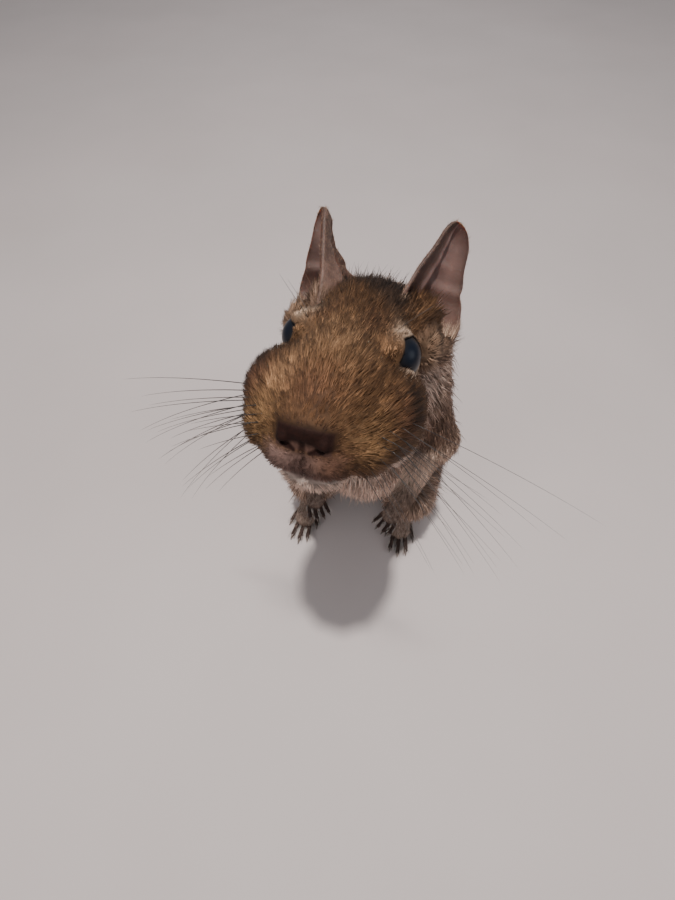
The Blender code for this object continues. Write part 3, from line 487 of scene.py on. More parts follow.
def skin_form(points):
    d, far = measure(points)
    q = to_head(points)
    a = folded(q)
    weights = shares(far)
    depth = mix(weights, COAT_DEPTH)
    depth = depth + 2.2 * weights[:, PARTS.index("trunk")] * ramp(points[:, 1], -20.0, 6.0)
    snout = ramp(np.linalg.norm(a - np.array((0.0, 1.5, -1.5)), axis=1), 3.0, 9.0)
    depth = depth * np.where(q[:, 1] < 20, 0.25 + 0.75 * snout, 1.0)
    d = d + depth
    near = np.linalg.norm(q - np.array((0.0, 18.0, 0.0)), axis=1) < 30
    if near.any():
        d[near] = face_details(q[near], d[near])
    return np.maximum(d, -points[:, 2])


def face_details(q, d):
    """Nose leather, lips, nostrils and lids."""
    a = folded(q)
    for centre, radii, softness in SNOUT_FORMS.values():
        d = blend(d, ball(a, centre, radii), softness)
    for start, end, radii, edge in SNOUT_GROOVES.values():
        d = carve(d, bone(a, start, end, *radii), edge)
    d = blend(d, ball(a, *EAR_LOBE), 1.5)
    d = blend(d, ball(a, *EAR_FRONT_FOLD), 1.5)
    reach, edge = eye_edge(q)
    rise = reach - EYE_RADIUS
    lid = np.sqrt((rise - 0.16) ** 2 + np.maximum(0, LID_THICK - edge) ** 2
                  + np.maximum(0, edge - LID_WIDTH) ** 2) - LID_THICK
    d = blend(d, lid, 0.8)
    d = blend(d, np.hypot(rise - 0.05, edge - 2.2) - 0.35, 1.1)
    opening = np.maximum(np.maximum(edge, -0.5 - rise), rise - 6.0)
    d = carve(d, opening, 0.12)
    d = carve(d, reach - EYE_RADIUS + 0.05, 0.12)
    return carve(d, ball(a, *EAR_HOLLOW), 1.2)


# A form becomes a surface on a grid whose steps are fine at the head, hands and feet

def axis_steps(bands):
    """Grid lines through bands of (start, end, step) that follow one another."""
    lines = []
    for start, end, step in bands:
        lines.append(np.linspace(start, end, max(2, round((end - start) / step)), endpoint=False))
    return np.concatenate(lines + [[bands[-1][1]]])


GRID_BANDS = (
    ((-38, -17, 0.9), (-17, -7.5, 0.42), (-7.5, 3, 0.21), (3, 17, 0.42), (17, 38, 0.9)),
    ((-76, -71.2, 0.42), (-71.2, -61.6, 0.21), (-61.6, -27, 0.42), (-27, 46, 1.1), (46, 126, 0.9)),
    ((-2.2, 13, 0.42), (13, 43, 1.1), (43, 57, 0.42), (57, 100, 1.1), (100, 119, 0.42),
     (119, 131, 0.21), (131, 138, 0.42)),
)
BLOCK = 12


def field_on_grid(form, axes):
    """The form on every grid point; far blocks only get the sign at their middle."""
    shape = [len(axis) for axis in axes]
    value = np.empty(shape)
    todo = []
    middles = []
    reaches = []
    blocks = []
    for i in range(0, shape[0], BLOCK):
        for j in range(0, shape[1], BLOCK):
            for k in range(0, shape[2], BLOCK):
                piece = tuple(slice(a, min(a + BLOCK, n)) for a, n in zip((i, j, k), shape))
                low = np.array([axis[s.start] for axis, s in zip(axes, piece)])
                high = np.array([axis[s.stop - 1] for axis, s in zip(axes, piece)])
                blocks.append(piece)
                middles.append((low + high) / 2)
                reaches.append(np.linalg.norm(high - low) / 2)
    centre_value = form(np.array(middles))
    for piece, here, reach in zip(blocks, centre_value, reaches):
        if abs(here) > reach * 1.35 + 3.0:
            value[piece] = here
        else:
            todo.append(piece)
    for start in range(0, len(todo), 200):
        batch = todo[start:start + 200]
        grids = [np.stack(np.meshgrid(*(axis[s] for axis, s in zip(axes, piece)), indexing="ij"),
                          axis=-1).reshape(-1, 3) for piece in batch]
        found = form(np.concatenate(grids))
        place = 0
        for piece, grid in zip(batch, grids):
            size = [s.stop - s.start for s in piece]
            value[piece] = found[place:place + len(grid)].reshape(size)
            place += len(grid)
    return value


def surface_of(form, axes):
    """Vertices and quads of the zero level of a form on an uneven grid."""
    value = field_on_grid(form, axes)
    value = np.where(np.abs(value) < 1e-7, 1e-7, value)
    shape = value.shape
    cells = tuple(n - 1 for n in shape)
    keys, places, quads = [], [], []
    for axis in range(3):
        u, v = ((1, 2), (2, 0), (0, 1))[axis]
        low_side = [slice(None)] * 3
        high_side = [slice(None)] * 3
        low_side[axis] = slice(0, -1)
        high_side[axis] = slice(1, None)
        near, far = value[tuple(low_side)], value[tuple(high_side)]
        crossing = np.argwhere((near < 0) != (far < 0))
        keep = ((crossing[:, u] > 0) & (crossing[:, v] > 0)
                & (crossing[:, u] < shape[u] - 1) & (crossing[:, v] < shape[v] - 1))
        crossing = crossing[keep]
        start, stop = near[tuple(crossing.T)], far[tuple(crossing.T)]
        place = np.stack([axes[n][crossing[:, n]] for n in range(3)], axis=1)
        step = axes[axis][crossing[:, axis] + 1] - axes[axis][crossing[:, axis]]
        place[:, axis] += step * start / (start - stop)
        corner = []
        for du, dv in ((-1, -1), (0, -1), (0, 0), (-1, 0)):
            cell = crossing.copy()
            cell[:, u] += du
            cell[:, v] += dv
            index = (cell[:, 0] * cells[1] + cell[:, 1]) * cells[2] + cell[:, 2]
            keys.append(index)
            places.append(place)
            corner.append(index)
        faces = np.stack(corner, axis=1)
        faces[start > 0] = faces[start > 0][:, ::-1]
        quads.append(faces)
    quads = np.concatenate(quads)
    keys = np.concatenate(keys)
    places = np.concatenate(places)
    used, inverse = np.unique(quads, return_inverse=True)
    slot_of = np.searchsorted(used, keys)
    count = np.bincount(slot_of, minlength=len(used)).astype(float)
    verts = np.stack([np.bincount(slot_of, places[:, n], len(used)) for n in range(3)], axis=1)
    verts /= count[:, None]
    for _ in range(3):
        verts = toward_level(form, verts)
    return verts, inverse.reshape(quads.shape)


def slope_of(form, points, reach=0.05):
    here = form(points)
    slope = np.zeros_like(points)
    for axis in range(3):
        ahead = points.copy()
        ahead[:, axis] += reach
        slope[:, axis] = (form(ahead) - here) / reach
    return here, slope


def toward_level(form, verts, limit=0.14):
    here, slope = slope_of(form, verts)
    size = np.maximum((slope ** 2).sum(axis=1), 0.25)
    move = -slope * (here / size)[:, None]
    length = np.linalg.norm(move, axis=1)
    return verts + move * np.minimum(1.0, limit / np.maximum(length, 1e-9))[:, None]


# Markings: the same colours for skin and coat, from the place on the body

def srgb(red, green, blue):
    """Linear colour of a tone given as screen values from 0 to 255."""
    value = np.array((red, green, blue)) / 255
    return np.where(value <= 0.04045, value / 12.92, ((value + 0.055) / 1.055) ** 2.4)


# The limb tone is the limbs' pale cream made paler still, as painted light standing in for the light thrown
# up from the pale floor.
TONES = {
    "tan": srgb(152, 117, 86), "agouti": srgb(98, 70, 47), "ochre": srgb(140, 108, 74),
    "rust": srgb(94, 64, 47), "crown": srgb(60, 44, 34), "grey": srgb(130, 106, 91),
    "flank": srgb(122, 98, 83), "back": srgb(108, 83, 65), "pale": srgb(214, 190, 176),
    "cream": srgb(206, 178, 154), "mauve": srgb(112, 88, 80), "nose": srgb(33, 14, 9),
    # The hand tone is painted shade: the dark of the head's shadow on the forepaws, which are paler
    # themselves.
    "limb_and_painted_light": srgb(216, 190, 173), "paw": srgb(166, 144, 131), "hand": srgb(88, 69, 59),
    "toe": srgb(62, 48, 43), "tail": srgb(96, 74, 58), "black": srgb(30, 24, 22),
    "stripe": srgb(40, 27, 19), "inner": srgb(76, 54, 46), "jowl": srgb(98, 76, 64),
}


def over(base, tone, share):
    share = np.clip(share, 0.0, 1.0)[:, None]
    return base * (1 - share) + TONES[tone] * share


def markings(points, weights):
    """Base colour of the coat at each point, with painted shade on the hands and painted light on the limbs.
    """
    q = to_head(points)
    a = folded(q)
    part = dict(zip(PARTS, weights.T))
    tone = np.tile(TONES["back"], (len(points), 1))
    lean = points[:, 0] - BODY_LEAN
    belly = ramp(-(points[:, 1] + 0.55 * (60 - points[:, 2]) * 0.35), 4.0, 20.0)
    side = ramp(np.abs(lean), 8.0, 22.0)
    tone = over(tone, "flank", side)
    tone = over(tone, "pale", belly * (1 - ramp(np.abs(lean), 12.0, 21.0)) * part["trunk"])
    tone = over(tone, "grey", part["nape"] * ramp(-points[:, 1], 14.0, 24.0))
    tone = over(tone, "pale", part["nape"] * ramp(-points[:, 1], 24.0, 33.0))
    tone = over(tone, "flank", part["haunch"] + part["arm"])
    low = 1 - ramp(points[:, 2], 60.0, 72.0)
    # The limb tone here is partly the limbs' real pale cream and partly painted light from the floor.
    tone = over(tone, "limb_and_painted_light", part["arm"] * ramp(-points[:, 1], 18.0, 26.0) * low)
    tone = over(tone, "jowl", blob(points - np.array((1.5, 0.0, 0.0)), (21.0, -25.0, 82.0),
                                   (6.0, 9.0, 16.0)) * 0.8)
    tone = over(tone, "limb_and_painted_light", part["shank"] + part["forearm"])
    tone = over(tone, "paw", part["foot"])
    # The hands and the front of the forearms get the hand tone, painted shade from the head above them.
    tone = over(tone, "hand", part["hand"] + 0.5 * part["forearm"] * ramp(-points[:, 1], 28.0, 33.0))
    tone = over(tone, "tail", part["tail"])
    tone = over(tone, "black", part["tail"] * ramp(points[:, 1], 84.0, 104.0))
    share = part["head"][:, None]
    return tone * (1 - share) + head_markings(q, a) * share


def head_markings(q, a):
    """Tan forehead, ochre pads, dark crown, nose and eye rims, pale brow and chin."""
    head = np.tile(TONES["agouti"], (len(q), 1))
    head = over(head, "tan", blob(q, (-0.5, 14.0, 11.0), (8.0, 6.5, 4.5)))
    head = over(head, "tan", blob(q, (-7.0, 8.0, 6.0), (3.5, 5.0, 3.5)) * 0.7)
    head = over(head, "ochre", blob(a, (8.8, 4.4, 0.0), (4.2, 5.0, 5.5)) * np.where(q[:, 0] < 0, 0.75, 0.45))
    head = over(head, "rust", blob(q, (3.6, 19.0, 12.5), (2.6, 4.5, 3.0)) * 0.7)
    head = over(head, "rust", blob(q, (-5.0, 21.0, 12.5), (2.4, 3.5, 3.0)) * 0.5)
    head = over(head, "rust", blob(q, (-0.5, 6.0, 5.0), (4.5, 4.5, 4.0)) * 0.8)
    head = over(head, "rust", blob(q, (-11.5, 9.5, 3.5), (4.0, 6.0, 5.5)) * 0.75)
    head = over(head, "rust", blob(a, (12.2, 9.5, 1.5), (3.2, 4.5, 5.0)) * 0.8)
    head = over(head, "rust", blob(a, (10.4, 15.5, 9.0), (1.4, 3.0, 2.4)) * 0.6)
    crown = ramp(q[:, 1] + 0.8 * np.clip(q[:, 0], -3, 4), 26.5, 31.0)
    crown = crown * (1 - ramp(-q[:, 0], 4.5, 8.5)) * ramp(q[:, 2], 7.0, 11.0)
    crown = crown * (1 - ramp(q[:, 0], 5.0, 8.0)) * (1 - 0.8 * ramp(q[:, 1], 35.0, 42.0))
    head = over(head, "crown", crown * 0.9)
    head = over(head, "grey", ramp(q[:, 1] - 0.6 * q[:, 2], 19.0, 29.0) * (1 - ramp(q[:, 2], 3.0, 9.0)))
    head = over(head, "stripe", (1 - ramp(bone(a, (12.4, 12.6, 5.0), (13.8, 10.2, 1.5), 0.8, 0.6),
                                          0.0, 1.3)) * 0.85)
    reach, edge = eye_edge(q)
    close = 1 - ramp(reach, EYE_RADIUS + 1.2, EYE_RADIUS + 3.0)
    below = ramp(-(a[:, 2] - EYE_CENTRE[2]) - 0.15 * (a[:, 1] - EYE_CENTRE[1]), 0.2, 1.4)
    head = over(head, "flank", blob(a, (13.2, 30.5, 5.6), (3.4, 4.2, 4.6)))
    head = over(head, "cream", close * below * (1 - ramp(edge, 1.0, 1.9)) * 0.95)
    head = over(head, "cream", blob(a, (8.8, 22.8, 11.7), (2.4, 3.2, 2.0)) * 0.95)
    head = over(head, "cream", blob(a, (12.4, 28.6, 6.0), (1.4, 1.4, 3.0)) * 0.8)
    head = over(head, "cream", blob(a, (12.2, 23.8, 3.0), (1.9, 2.8, 2.0)) * 0.95)
    head = over(head, "black", close * (1 - ramp(edge, 0.05, 0.3)) * (1 - 0.8 * below))
    bare, dark, _ = nose_parts(q)
    head = over(head, "mauve", ramp(-q[:, 2], 0.4, 2.2) * (1 - ramp(a[:, 0], 4.4, 6.8)))
    head = over(head, "mauve", blob(a, (11.0, 6.5, -5.4), (5.0, 6.0, 2.4)) * 0.6)
    head = over(head, "rust", blob(q, (4.4, 1.4, -2.8), (3.8, 4.0, 3.4)) * 0.85)
    head = over(head, "pale", ramp(-q[:, 2] + 0.1 * q[:, 1] - 0.12 * a[:, 0], 6.7, 7.8))
    head = over(head, "inner", bare * (1 - ramp(-q[:, 2], 5.6, 6.4)))
    # The bar and philtrum take the dark nose colour; the nostril slits take it as painted shade.
    return over(head, "nose", dark)


def flow_of(points, weights, normals):
    """The way the coat lies at each point, along the surface."""
    q = to_head(points)
    part = dict(zip(PARTS, weights.T))
    from_nose = unit(q - np.array((0.0, -3.0, -1.0)))
    head_way = unit(from_nose * 0.8 + np.array((0.0, 0.75, 0.0))) @ HEAD_TURN.T
    lean = (points[:, 0] - BODY_LEAN)[:, None] * np.array((0.012, 0.0, 0.0))
    down = np.array((0.0, 0.32, -1.0)) + lean
    nape = np.array((0.0, 0.75, -0.75)) + lean
    ways = {
        "head": head_way, "nape": nape, "trunk": down,
        "haunch": np.array((0.0, 0.15, -1.0)), "shank": np.array((0.0, 0.35, -1.0)),
        "foot": np.array((0.0, -1.0, -0.1)), "arm": np.array((0.0, 0.1, -1.0)),
        "forearm": np.array((0.0, -0.85, -0.5)), "hand": np.array((0.0, -0.7, -0.7)),
        "tail": np.array((0.25, 1.0, -0.1)),
    }
    flow = sum(unit(np.broadcast_to(ways[name], points.shape)) * part[name][:, None]
               for name in PARTS)
    flow = flow - normals * (flow * normals).sum(axis=1, keepdims=True)
    return unit(flow)


# Meshes

def add_mesh(name, verts, faces, smooth=True):
    mesh = bpy.data.meshes.new(name)
    mesh.from_pydata([tuple(v) for v in to_model(verts)], [], [tuple(int(i) for i in f) for f in faces])
    mesh.validate()
    thing = bpy.data.objects.new(name, mesh)
    bpy.context.scene.collection.objects.link(thing)
    if smooth:
        mesh.shade_smooth()
    return thing


def add_floats(mesh, name, values):
    attribute = mesh.attributes.new(name, "FLOAT", "POINT")
    attribute.data.foreach_set("value", np.ascontiguousarray(values, np.float32))


def add_colours(mesh, name, colours):
    attribute = mesh.attributes.new(name, "FLOAT_COLOR", "POINT")
    full = np.ones((len(colours), 4), np.float32)
    full[:, :3] = colours
    attribute.data.foreach_set("color", full.ravel())


def build_skin():
    axes = [axis_steps(bands) for bands in GRID_BANDS]
    verts, faces = surface_of(skin_form, axes)
    skin = add_mesh("skin", verts, faces)
    _, far = measure(verts)
    weights = shares(far)
    q = to_head(verts)
    add_colours(skin.data, "hide", markings(verts, weights))
    part = dict(zip(PARTS, weights.T))
    bare, _, pads = nose_parts(q)
    reach, edge = eye_edge(q)
    rim = (1 - ramp(edge, 0.1, 0.35)) * (1 - ramp(reach, EYE_RADIUS + 1.0, EYE_RADIUS + 1.6))
    add_floats(skin.data, "leather", np.maximum(bare, rim))
    add_floats(skin.data, "pads", pads)
    pads = np.maximum(part["foot"], part["hand"])
    tips = paw_tips(verts)
    add_floats(skin.data, "paw", np.clip(pads * 1.4, 0, 1))
    add_floats(skin.data, "toe", tips)
    return skin, verts, faces, weights


def paw_tips(points):
    """1 along the toes and fingers, 0 on the rest of the body."""
    share = np.zeros(len(points))
    for side in (1, -1):
        for bones, reach in ((toe_bones(side), TOE_RADIUS), (finger_bones(side), FINGER_RADIUS)):
            for start, middle, tip, _ in bones:
                d = bone(points, (start + middle) / 2, middle, reach, reach)
                d = np.minimum(d, bone(points, middle, tip, reach, reach))
                share = np.maximum(share, 1 - ramp(d, 0.1, 0.9))
    return share


def surface_samples(verts, faces, density):
    """Roots spread over the skin: place and normal, by a density at each vertex."""
    corners = verts[faces]
    first = np.cross(corners[:, 1] - corners[:, 0], corners[:, 2] - corners[:, 0])
    second = np.cross(corners[:, 2] - corners[:, 0], corners[:, 3] - corners[:, 0])
    area = (np.linalg.norm(first, axis=1) + np.linalg.norm(second, axis=1)) / 2
    wanted = area * density[faces].mean(axis=1)
    count = np.floor(wanted + RNG.random(len(wanted))).astype(int)
    index = np.repeat(np.arange(len(faces)), count)
    u, v = RNG.random((2, len(index)))
    c = corners[index]
    place = (c[:, 0] * ((1 - u) * (1 - v))[:, None] + c[:, 1] * (u * (1 - v))[:, None]
             + c[:, 2] * (u * v)[:, None] + c[:, 3] * ((1 - u) * v)[:, None])
    normal = unit(first + second)[index]
    return place, normal


def tuft_mesh(name, roots, normals, flow, length, width, lift, pull, target, uv, floats,
              colours, rings):
    """Closed tapered tufts of three sides: a sunk ring, for long hair a second one, and a tip."""
    n = len(roots)
    across = unit(np.cross(normals, flow))
    start_way = unit(flow + normals * (lift * 1.5)[:, None])
    end_way = unit(flow + normals * (lift * 0.35)[:, None])
    middle = roots + start_way * (length * 0.45)[:, None]
    tip = middle + end_way * (length * 0.55)[:, None]
    middle = middle + (target - tip) * (pull * 0.3)[:, None]
    tip = tip + (target - tip) * pull[:, None]
    sunk = roots - normals * 0.25 - start_way * 0.1
    corners = []
    for centre, way, size in ((sunk, start_way, 1.0 if rings == 1 else 0.7),
                              (middle, end_way, 1.0))[:rings]:
        up = unit(np.cross(way, across))
        up = up * np.sign((up * normals).sum(axis=1, keepdims=True))
        half = (width * size / 2)[:, None]
        corners += [centre - across * half, centre + across * half, centre + up * half * 0.9]
    verts = np.stack(corners + [tip], axis=1)
    verts[:, :, 2] = np.maximum(verts[:, :, 2], 0.06)
    if rings == 1:
        pattern = np.array((0, 1, 3, 1, 2, 3, 2, 0, 3, 0, 2, 1))
        shape, along = (3, 3, 3, 3), (0.0, 0.0, 0.0, 1.0)
        patch = ((0.0, 0.0), (0.5, 0.0), (1.0, 0.0), (0.5, 1.0))
    else:
        pattern = np.array((0, 1, 4, 3, 1, 2, 5, 4, 2, 0, 3, 5, 3, 4, 6, 4, 5, 6, 5, 3, 6, 0, 2, 1))
        shape, along = (4, 4, 4, 3, 3, 3, 3), (0.0, 0.0, 0.0, 0.45, 0.45, 0.45, 1.0)
        patch = ((0.0, 0.0), (0.5, 0.0), (1.0, 0.0), (0.0, 0.5), (0.5, 0.5), (1.0, 0.5), (0.5, 1.0))
    each = len(along)
    loops = ((np.arange(n) * each)[:, None] + pattern).ravel()
    sizes = np.tile(np.array(shape, np.int32), n)
    starts = np.concatenate(((0,), np.cumsum(sizes)[:-1])).astype(np.int32)
    mesh = bpy.data.meshes.new(name)
    mesh.vertices.add(n * each)
    mesh.vertices.foreach_set("co", to_model(verts.reshape(-1, 3)).astype(np.float32).ravel())
    mesh.loops.add(loops.size)
    mesh.loops.foreach_set("vertex_index", loops.astype(np.int32))
    mesh.polygons.add(len(sizes))
    mesh.polygons.foreach_set("loop_start", starts)
    mesh.update(calc_edges=True)
    mesh.validate()
    mesh.shade_smooth()
    thing = bpy.data.objects.new(name, mesh)
    bpy.context.scene.collection.objects.link(thing)
    add_floats(mesh, "along", np.tile(np.array(along), n))
    for key, values in floats.items():
        add_floats(mesh, key, np.repeat(values, each))
    add_colours(mesh, "hide", np.repeat(colours, each, axis=0))
    spots = (uv[:, None, :] + np.array(patch)[None] * PATCH).reshape(-1, 2)
    layer = mesh.uv_layers.new(name="OFBake")
    layer.data.foreach_set("uv", spots[loops].astype(np.float32).ravel())
    return thing


PATCH = 0.003


def unwrap(points, centre, axis):
    """Place on a globe laid round a part of the body: turn about an axis and angle from it."""
    axis = unit(axis)
    side = unit(np.cross(axis, (0.3, 0.2, 0.9)))
    third = np.cross(axis, side)
    offset = points - np.array(centre)
    turn = np.arctan2(offset @ third, offset @ side) / (2 * math.pi) + 0.5
    angle = np.arccos(np.clip(unit(offset) @ axis, -1, 1)) / math.pi
    return np.stack((turn, angle), axis=1) * (1 - 2 * PATCH) + PATCH * 0.5


# Each coat piece: its parts of the body, the globe it is unwrapped on, and rings in a tuft
COAT_PIECES = {
    "coat_face": (("head",), (0.0, -48.0, 122.0), (0.1, -1.0, 0.3), 1),
    "coat_nape": (("nape",), (0.0, -18.0, 100.0), (0.0, -0.5, 0.9), 2),
    "coat_trunk": (("trunk",), (1.5, 2.0, 55.0), (0.0, -0.2, 1.0), 2),
    "coat_haunch": (("haunch",), (0.0, 4.0, 30.0), (0.0, -1.0, 0.1), 2),
    "coat_shank": (("shank",), (0.0, -8.0, 20.0), (0.0, -1.0, 0.1), 1),
    "coat_arm": (("arm",), (0.0, -14.0, 76.0), (0.0, -0.3, -1.0), 2),
    "coat_forearm": (("forearm",), (0.0, -25.0, 58.0), (0.0, -0.8, -0.6), 1),
    "coat_foot": (("foot",), (0.0, -14.0, 4.0), (0.0, -1.0, 0.0), 1),
    "coat_hand": (("hand",), (0.0, -38.0, 49.0), (0.0, -1.0, -0.3), 1),
    "coat_tail": (("tail",), (8.0, 70.0, 4.0), (0.1, 1.0, 0.0), 1),
}
PIECE_TRIANGLES = 190000


def waves(points, size, seed):
    """A smooth random value between 0 and 1 that changes over about the given distance."""
    rng = np.random.default_rng(seed)
    total = np.zeros(len(points))
    for _ in range(7):
        way = unit(rng.normal(size=3)) * rng.uniform(0.7, 1.4) * 2 * math.pi / size
        total += np.sin(points @ way + rng.uniform(0, 2 * math.pi))
    return np.clip(0.5 + total / 7 * 0.9, 0.0, 1.0)


def clump_up(place, normal, flow, length, spacing):
    """The tip of the tuft that leads each clump, and one random tone for the clump."""
    chance = RNG.random(len(place))
    leaders = np.nonzero(chance < 1.0 / np.maximum(spacing, 1.0))[0]
    tree = KDTree(len(leaders))
    for n, i in enumerate(leaders):
        tree.insert(place[i], n)
    tree.balance()
    nearest = np.array([tree.find(p)[1] for p in place])
    lead = leaders[nearest]
    target = place[lead] + flow[lead] * length[lead][:, None] * 0.95 + normal[lead] * 0.4
    tone = RNG.random(len(leaders))[nearest]
    away = np.linalg.norm(place - place[lead], axis=1)
    return target, tone, away


def build_coat(verts, faces, weights):
    q = to_head(verts)
    density = mix(weights, HAIR, 3)
    bare, _, pads = nose_parts(q)
    reach, edge = eye_edge(q)
    rim = (1 - ramp(edge, 0.1, 0.3)) * (1 - ramp(reach, EYE_RADIUS + 1.2, EYE_RADIUS + 1.8))
    bare = np.maximum(np.maximum(bare, rim), ramp(paw_tips(verts), 0.0, 0.8) * 0.9)
    bare = np.maximum(bare, 1 - ramp(verts[:, 2], 0.3, 0.9))
    density = density * (1 - np.clip(bare, 0, 1)) * (1 + 0.3 * pads)
    place, normal = surface_samples(verts, faces, density)
    _, far = measure(place)
    share = shares(far)
    flow = flow_of(place, share, normal)
    q = to_head(place)
    a = folded(q)
    snout = np.linalg.norm(a - np.array((0.0, 1.5, -1.0)), axis=1)
    on_head = share[:, PARTS.index("head")]
    crown = on_head * ramp(q[:, 1], 25.0, 34.0) * ramp(q[:, 2], 8.0, 12.0)
    _, _, pads = nose_parts(q)
    reach, edge = eye_edge(q)
    near_eye = (1 - ramp(edge, 0.8, 3.4)) * (1 - ramp(reach, EYE_RADIUS + 1.5, EYE_RADIUS + 3.0))
    length = mix(share, HAIR, 0)
    length = length * (1 - on_head * (0.62 * (1 - ramp(snout, 2.5, 15.0)) + 0.1 * pads))
    chest = share[:, PARTS.index("trunk")] * ramp(-place[:, 1], 22.0, 32.0)
    chest = chest * (1 - ramp(np.abs(place[:, 0] - BODY_LEAN), 9.0, 17.0))
    toe_line = share[:, PARTS.index("foot")] * ramp(-place[:, 1], 14.0, 22.0)
    length = length * (1 + 0.7 * crown + 0.6 * chest + 0.6 * toe_line) * (1 - 0.7 * near_eye)
    length = length * RNG.uniform(0.65, 1.2, len(place))
    flow = flow + RNG.normal(size=(len(place), 3)) * (0.16 + 0.1 * waves(place, 5.0, 4))[:, None]
    outward = (a - EYE_CENTRE) * np.where(q[:, :1] < 0, (-1.0, 1.0, 1.0), 1.0) @ HEAD_TURN.T
    parting = (1 - ramp(edge, 0.5, 2.6)) * (1 - ramp(reach, EYE_RADIUS + 1.5, EYE_RADIUS + 3.0))
    flow = flow * (1 - 0.6 * parting)[:, None] + unit(outward) * (parting * 1.6)[:, None]
    flow = unit(flow - normal * (flow * normal).sum(axis=1, keepdims=True))
    width = mix(share, HAIR, 1) * RNG.uniform(0.7, 1.15, len(place))
    width = width * (1 - on_head * (0.35 * (1 - ramp(snout, 3.0, 12.0))))
    behind_eye = on_head * blob(a, (13.0, 30.0, 7.0), (5.0, 6.0, 5.0))
    length = length * (1 - 0.35 * behind_eye)
    lift = mix(share, HAIR, 2) * RNG.uniform(0.6, 1.4, len(place)) * (1 + 0.9 * crown)
    lift = lift * (1 - 0.6 * behind_eye)
    target, tone, away = clump_up(place, normal, flow, length, 6.0 + 5.0 * on_head)
    pull = np.clip(0.5 + 0.3 * on_head - away / np.maximum(length, 0.1) * 0.2, 0.05, 0.8)
    pull = pull * RNG.uniform(0.4, 1.0, len(place))
    guard = RNG.random(len(place)) < 0.04 * (1 - on_head) + 0.05 * crown
    length = np.where(guard, length * 1.35, length)
    pull = np.where(guard, pull * 0.2, pull)
    width = np.where(guard, width * 0.8, width)
    tone = 0.66 * tone + 0.2 * waves(place, 4.0, 1) + 0.14 * waves(place, 11.0, 2)
    near_nose = on_head * (1 - ramp(snout, 3.0, 9.0))
    tone = tone + (0.5 - tone) * 0.6 * near_nose
    strand = RNG.random(len(place))
    tone = np.where(guard, tone * 0.4, tone)
    colours = markings(place, share)
    bright = ramp(colours.mean(axis=1), 0.2, 0.4)
    tone = tone + (0.5 - tone) * 0.55 * bright
    main_part = np.argmax(share, axis=1)
    pieces = []
    for name, (parts, centre, way, rings) in COAT_PIECES.items():
        index = np.nonzero(np.isin(main_part, [PARTS.index(p) for p in parts]))[0]
        groups = math.ceil(len(index) * (4 if rings == 1 else 10) / PIECE_TRIANGLES)
        order = np.argsort(place[index, 1] + place[index, 0] * 1e-3, kind="stable")
        for n, some in enumerate(np.array_split(index[order], groups)):
            label = f"{name}_{n + 1}" if groups > 1 else name
            uv = unwrap(place[some], centre, way)
            pieces.append(tuft_mesh(
                label, place[some], normal[some], flow[some], length[some], width[some],
                lift[some], pull[some], target[some], uv,
                {"tone": tone[some], "strand": strand[some]}, colours[some], rings))
    return pieces


# Ears

def ear_profile(u, sizes):
    at_root, at_swell, swell, near_tip = sizes
    if u < swell:
        t = u / swell
        width = at_root + (at_swell - at_root) * t * t * (3 - 2 * t)
    else:
        t = (u - swell) / (1 - swell)
        width = at_swell + (near_tip - at_swell) * t * t * (3 - 2 * t)
    left = min((1 - u) / EAR_TIP_ROUND, 1.0)
    return max(width * math.sqrt(1 - (1 - left) ** 2), 0.05)


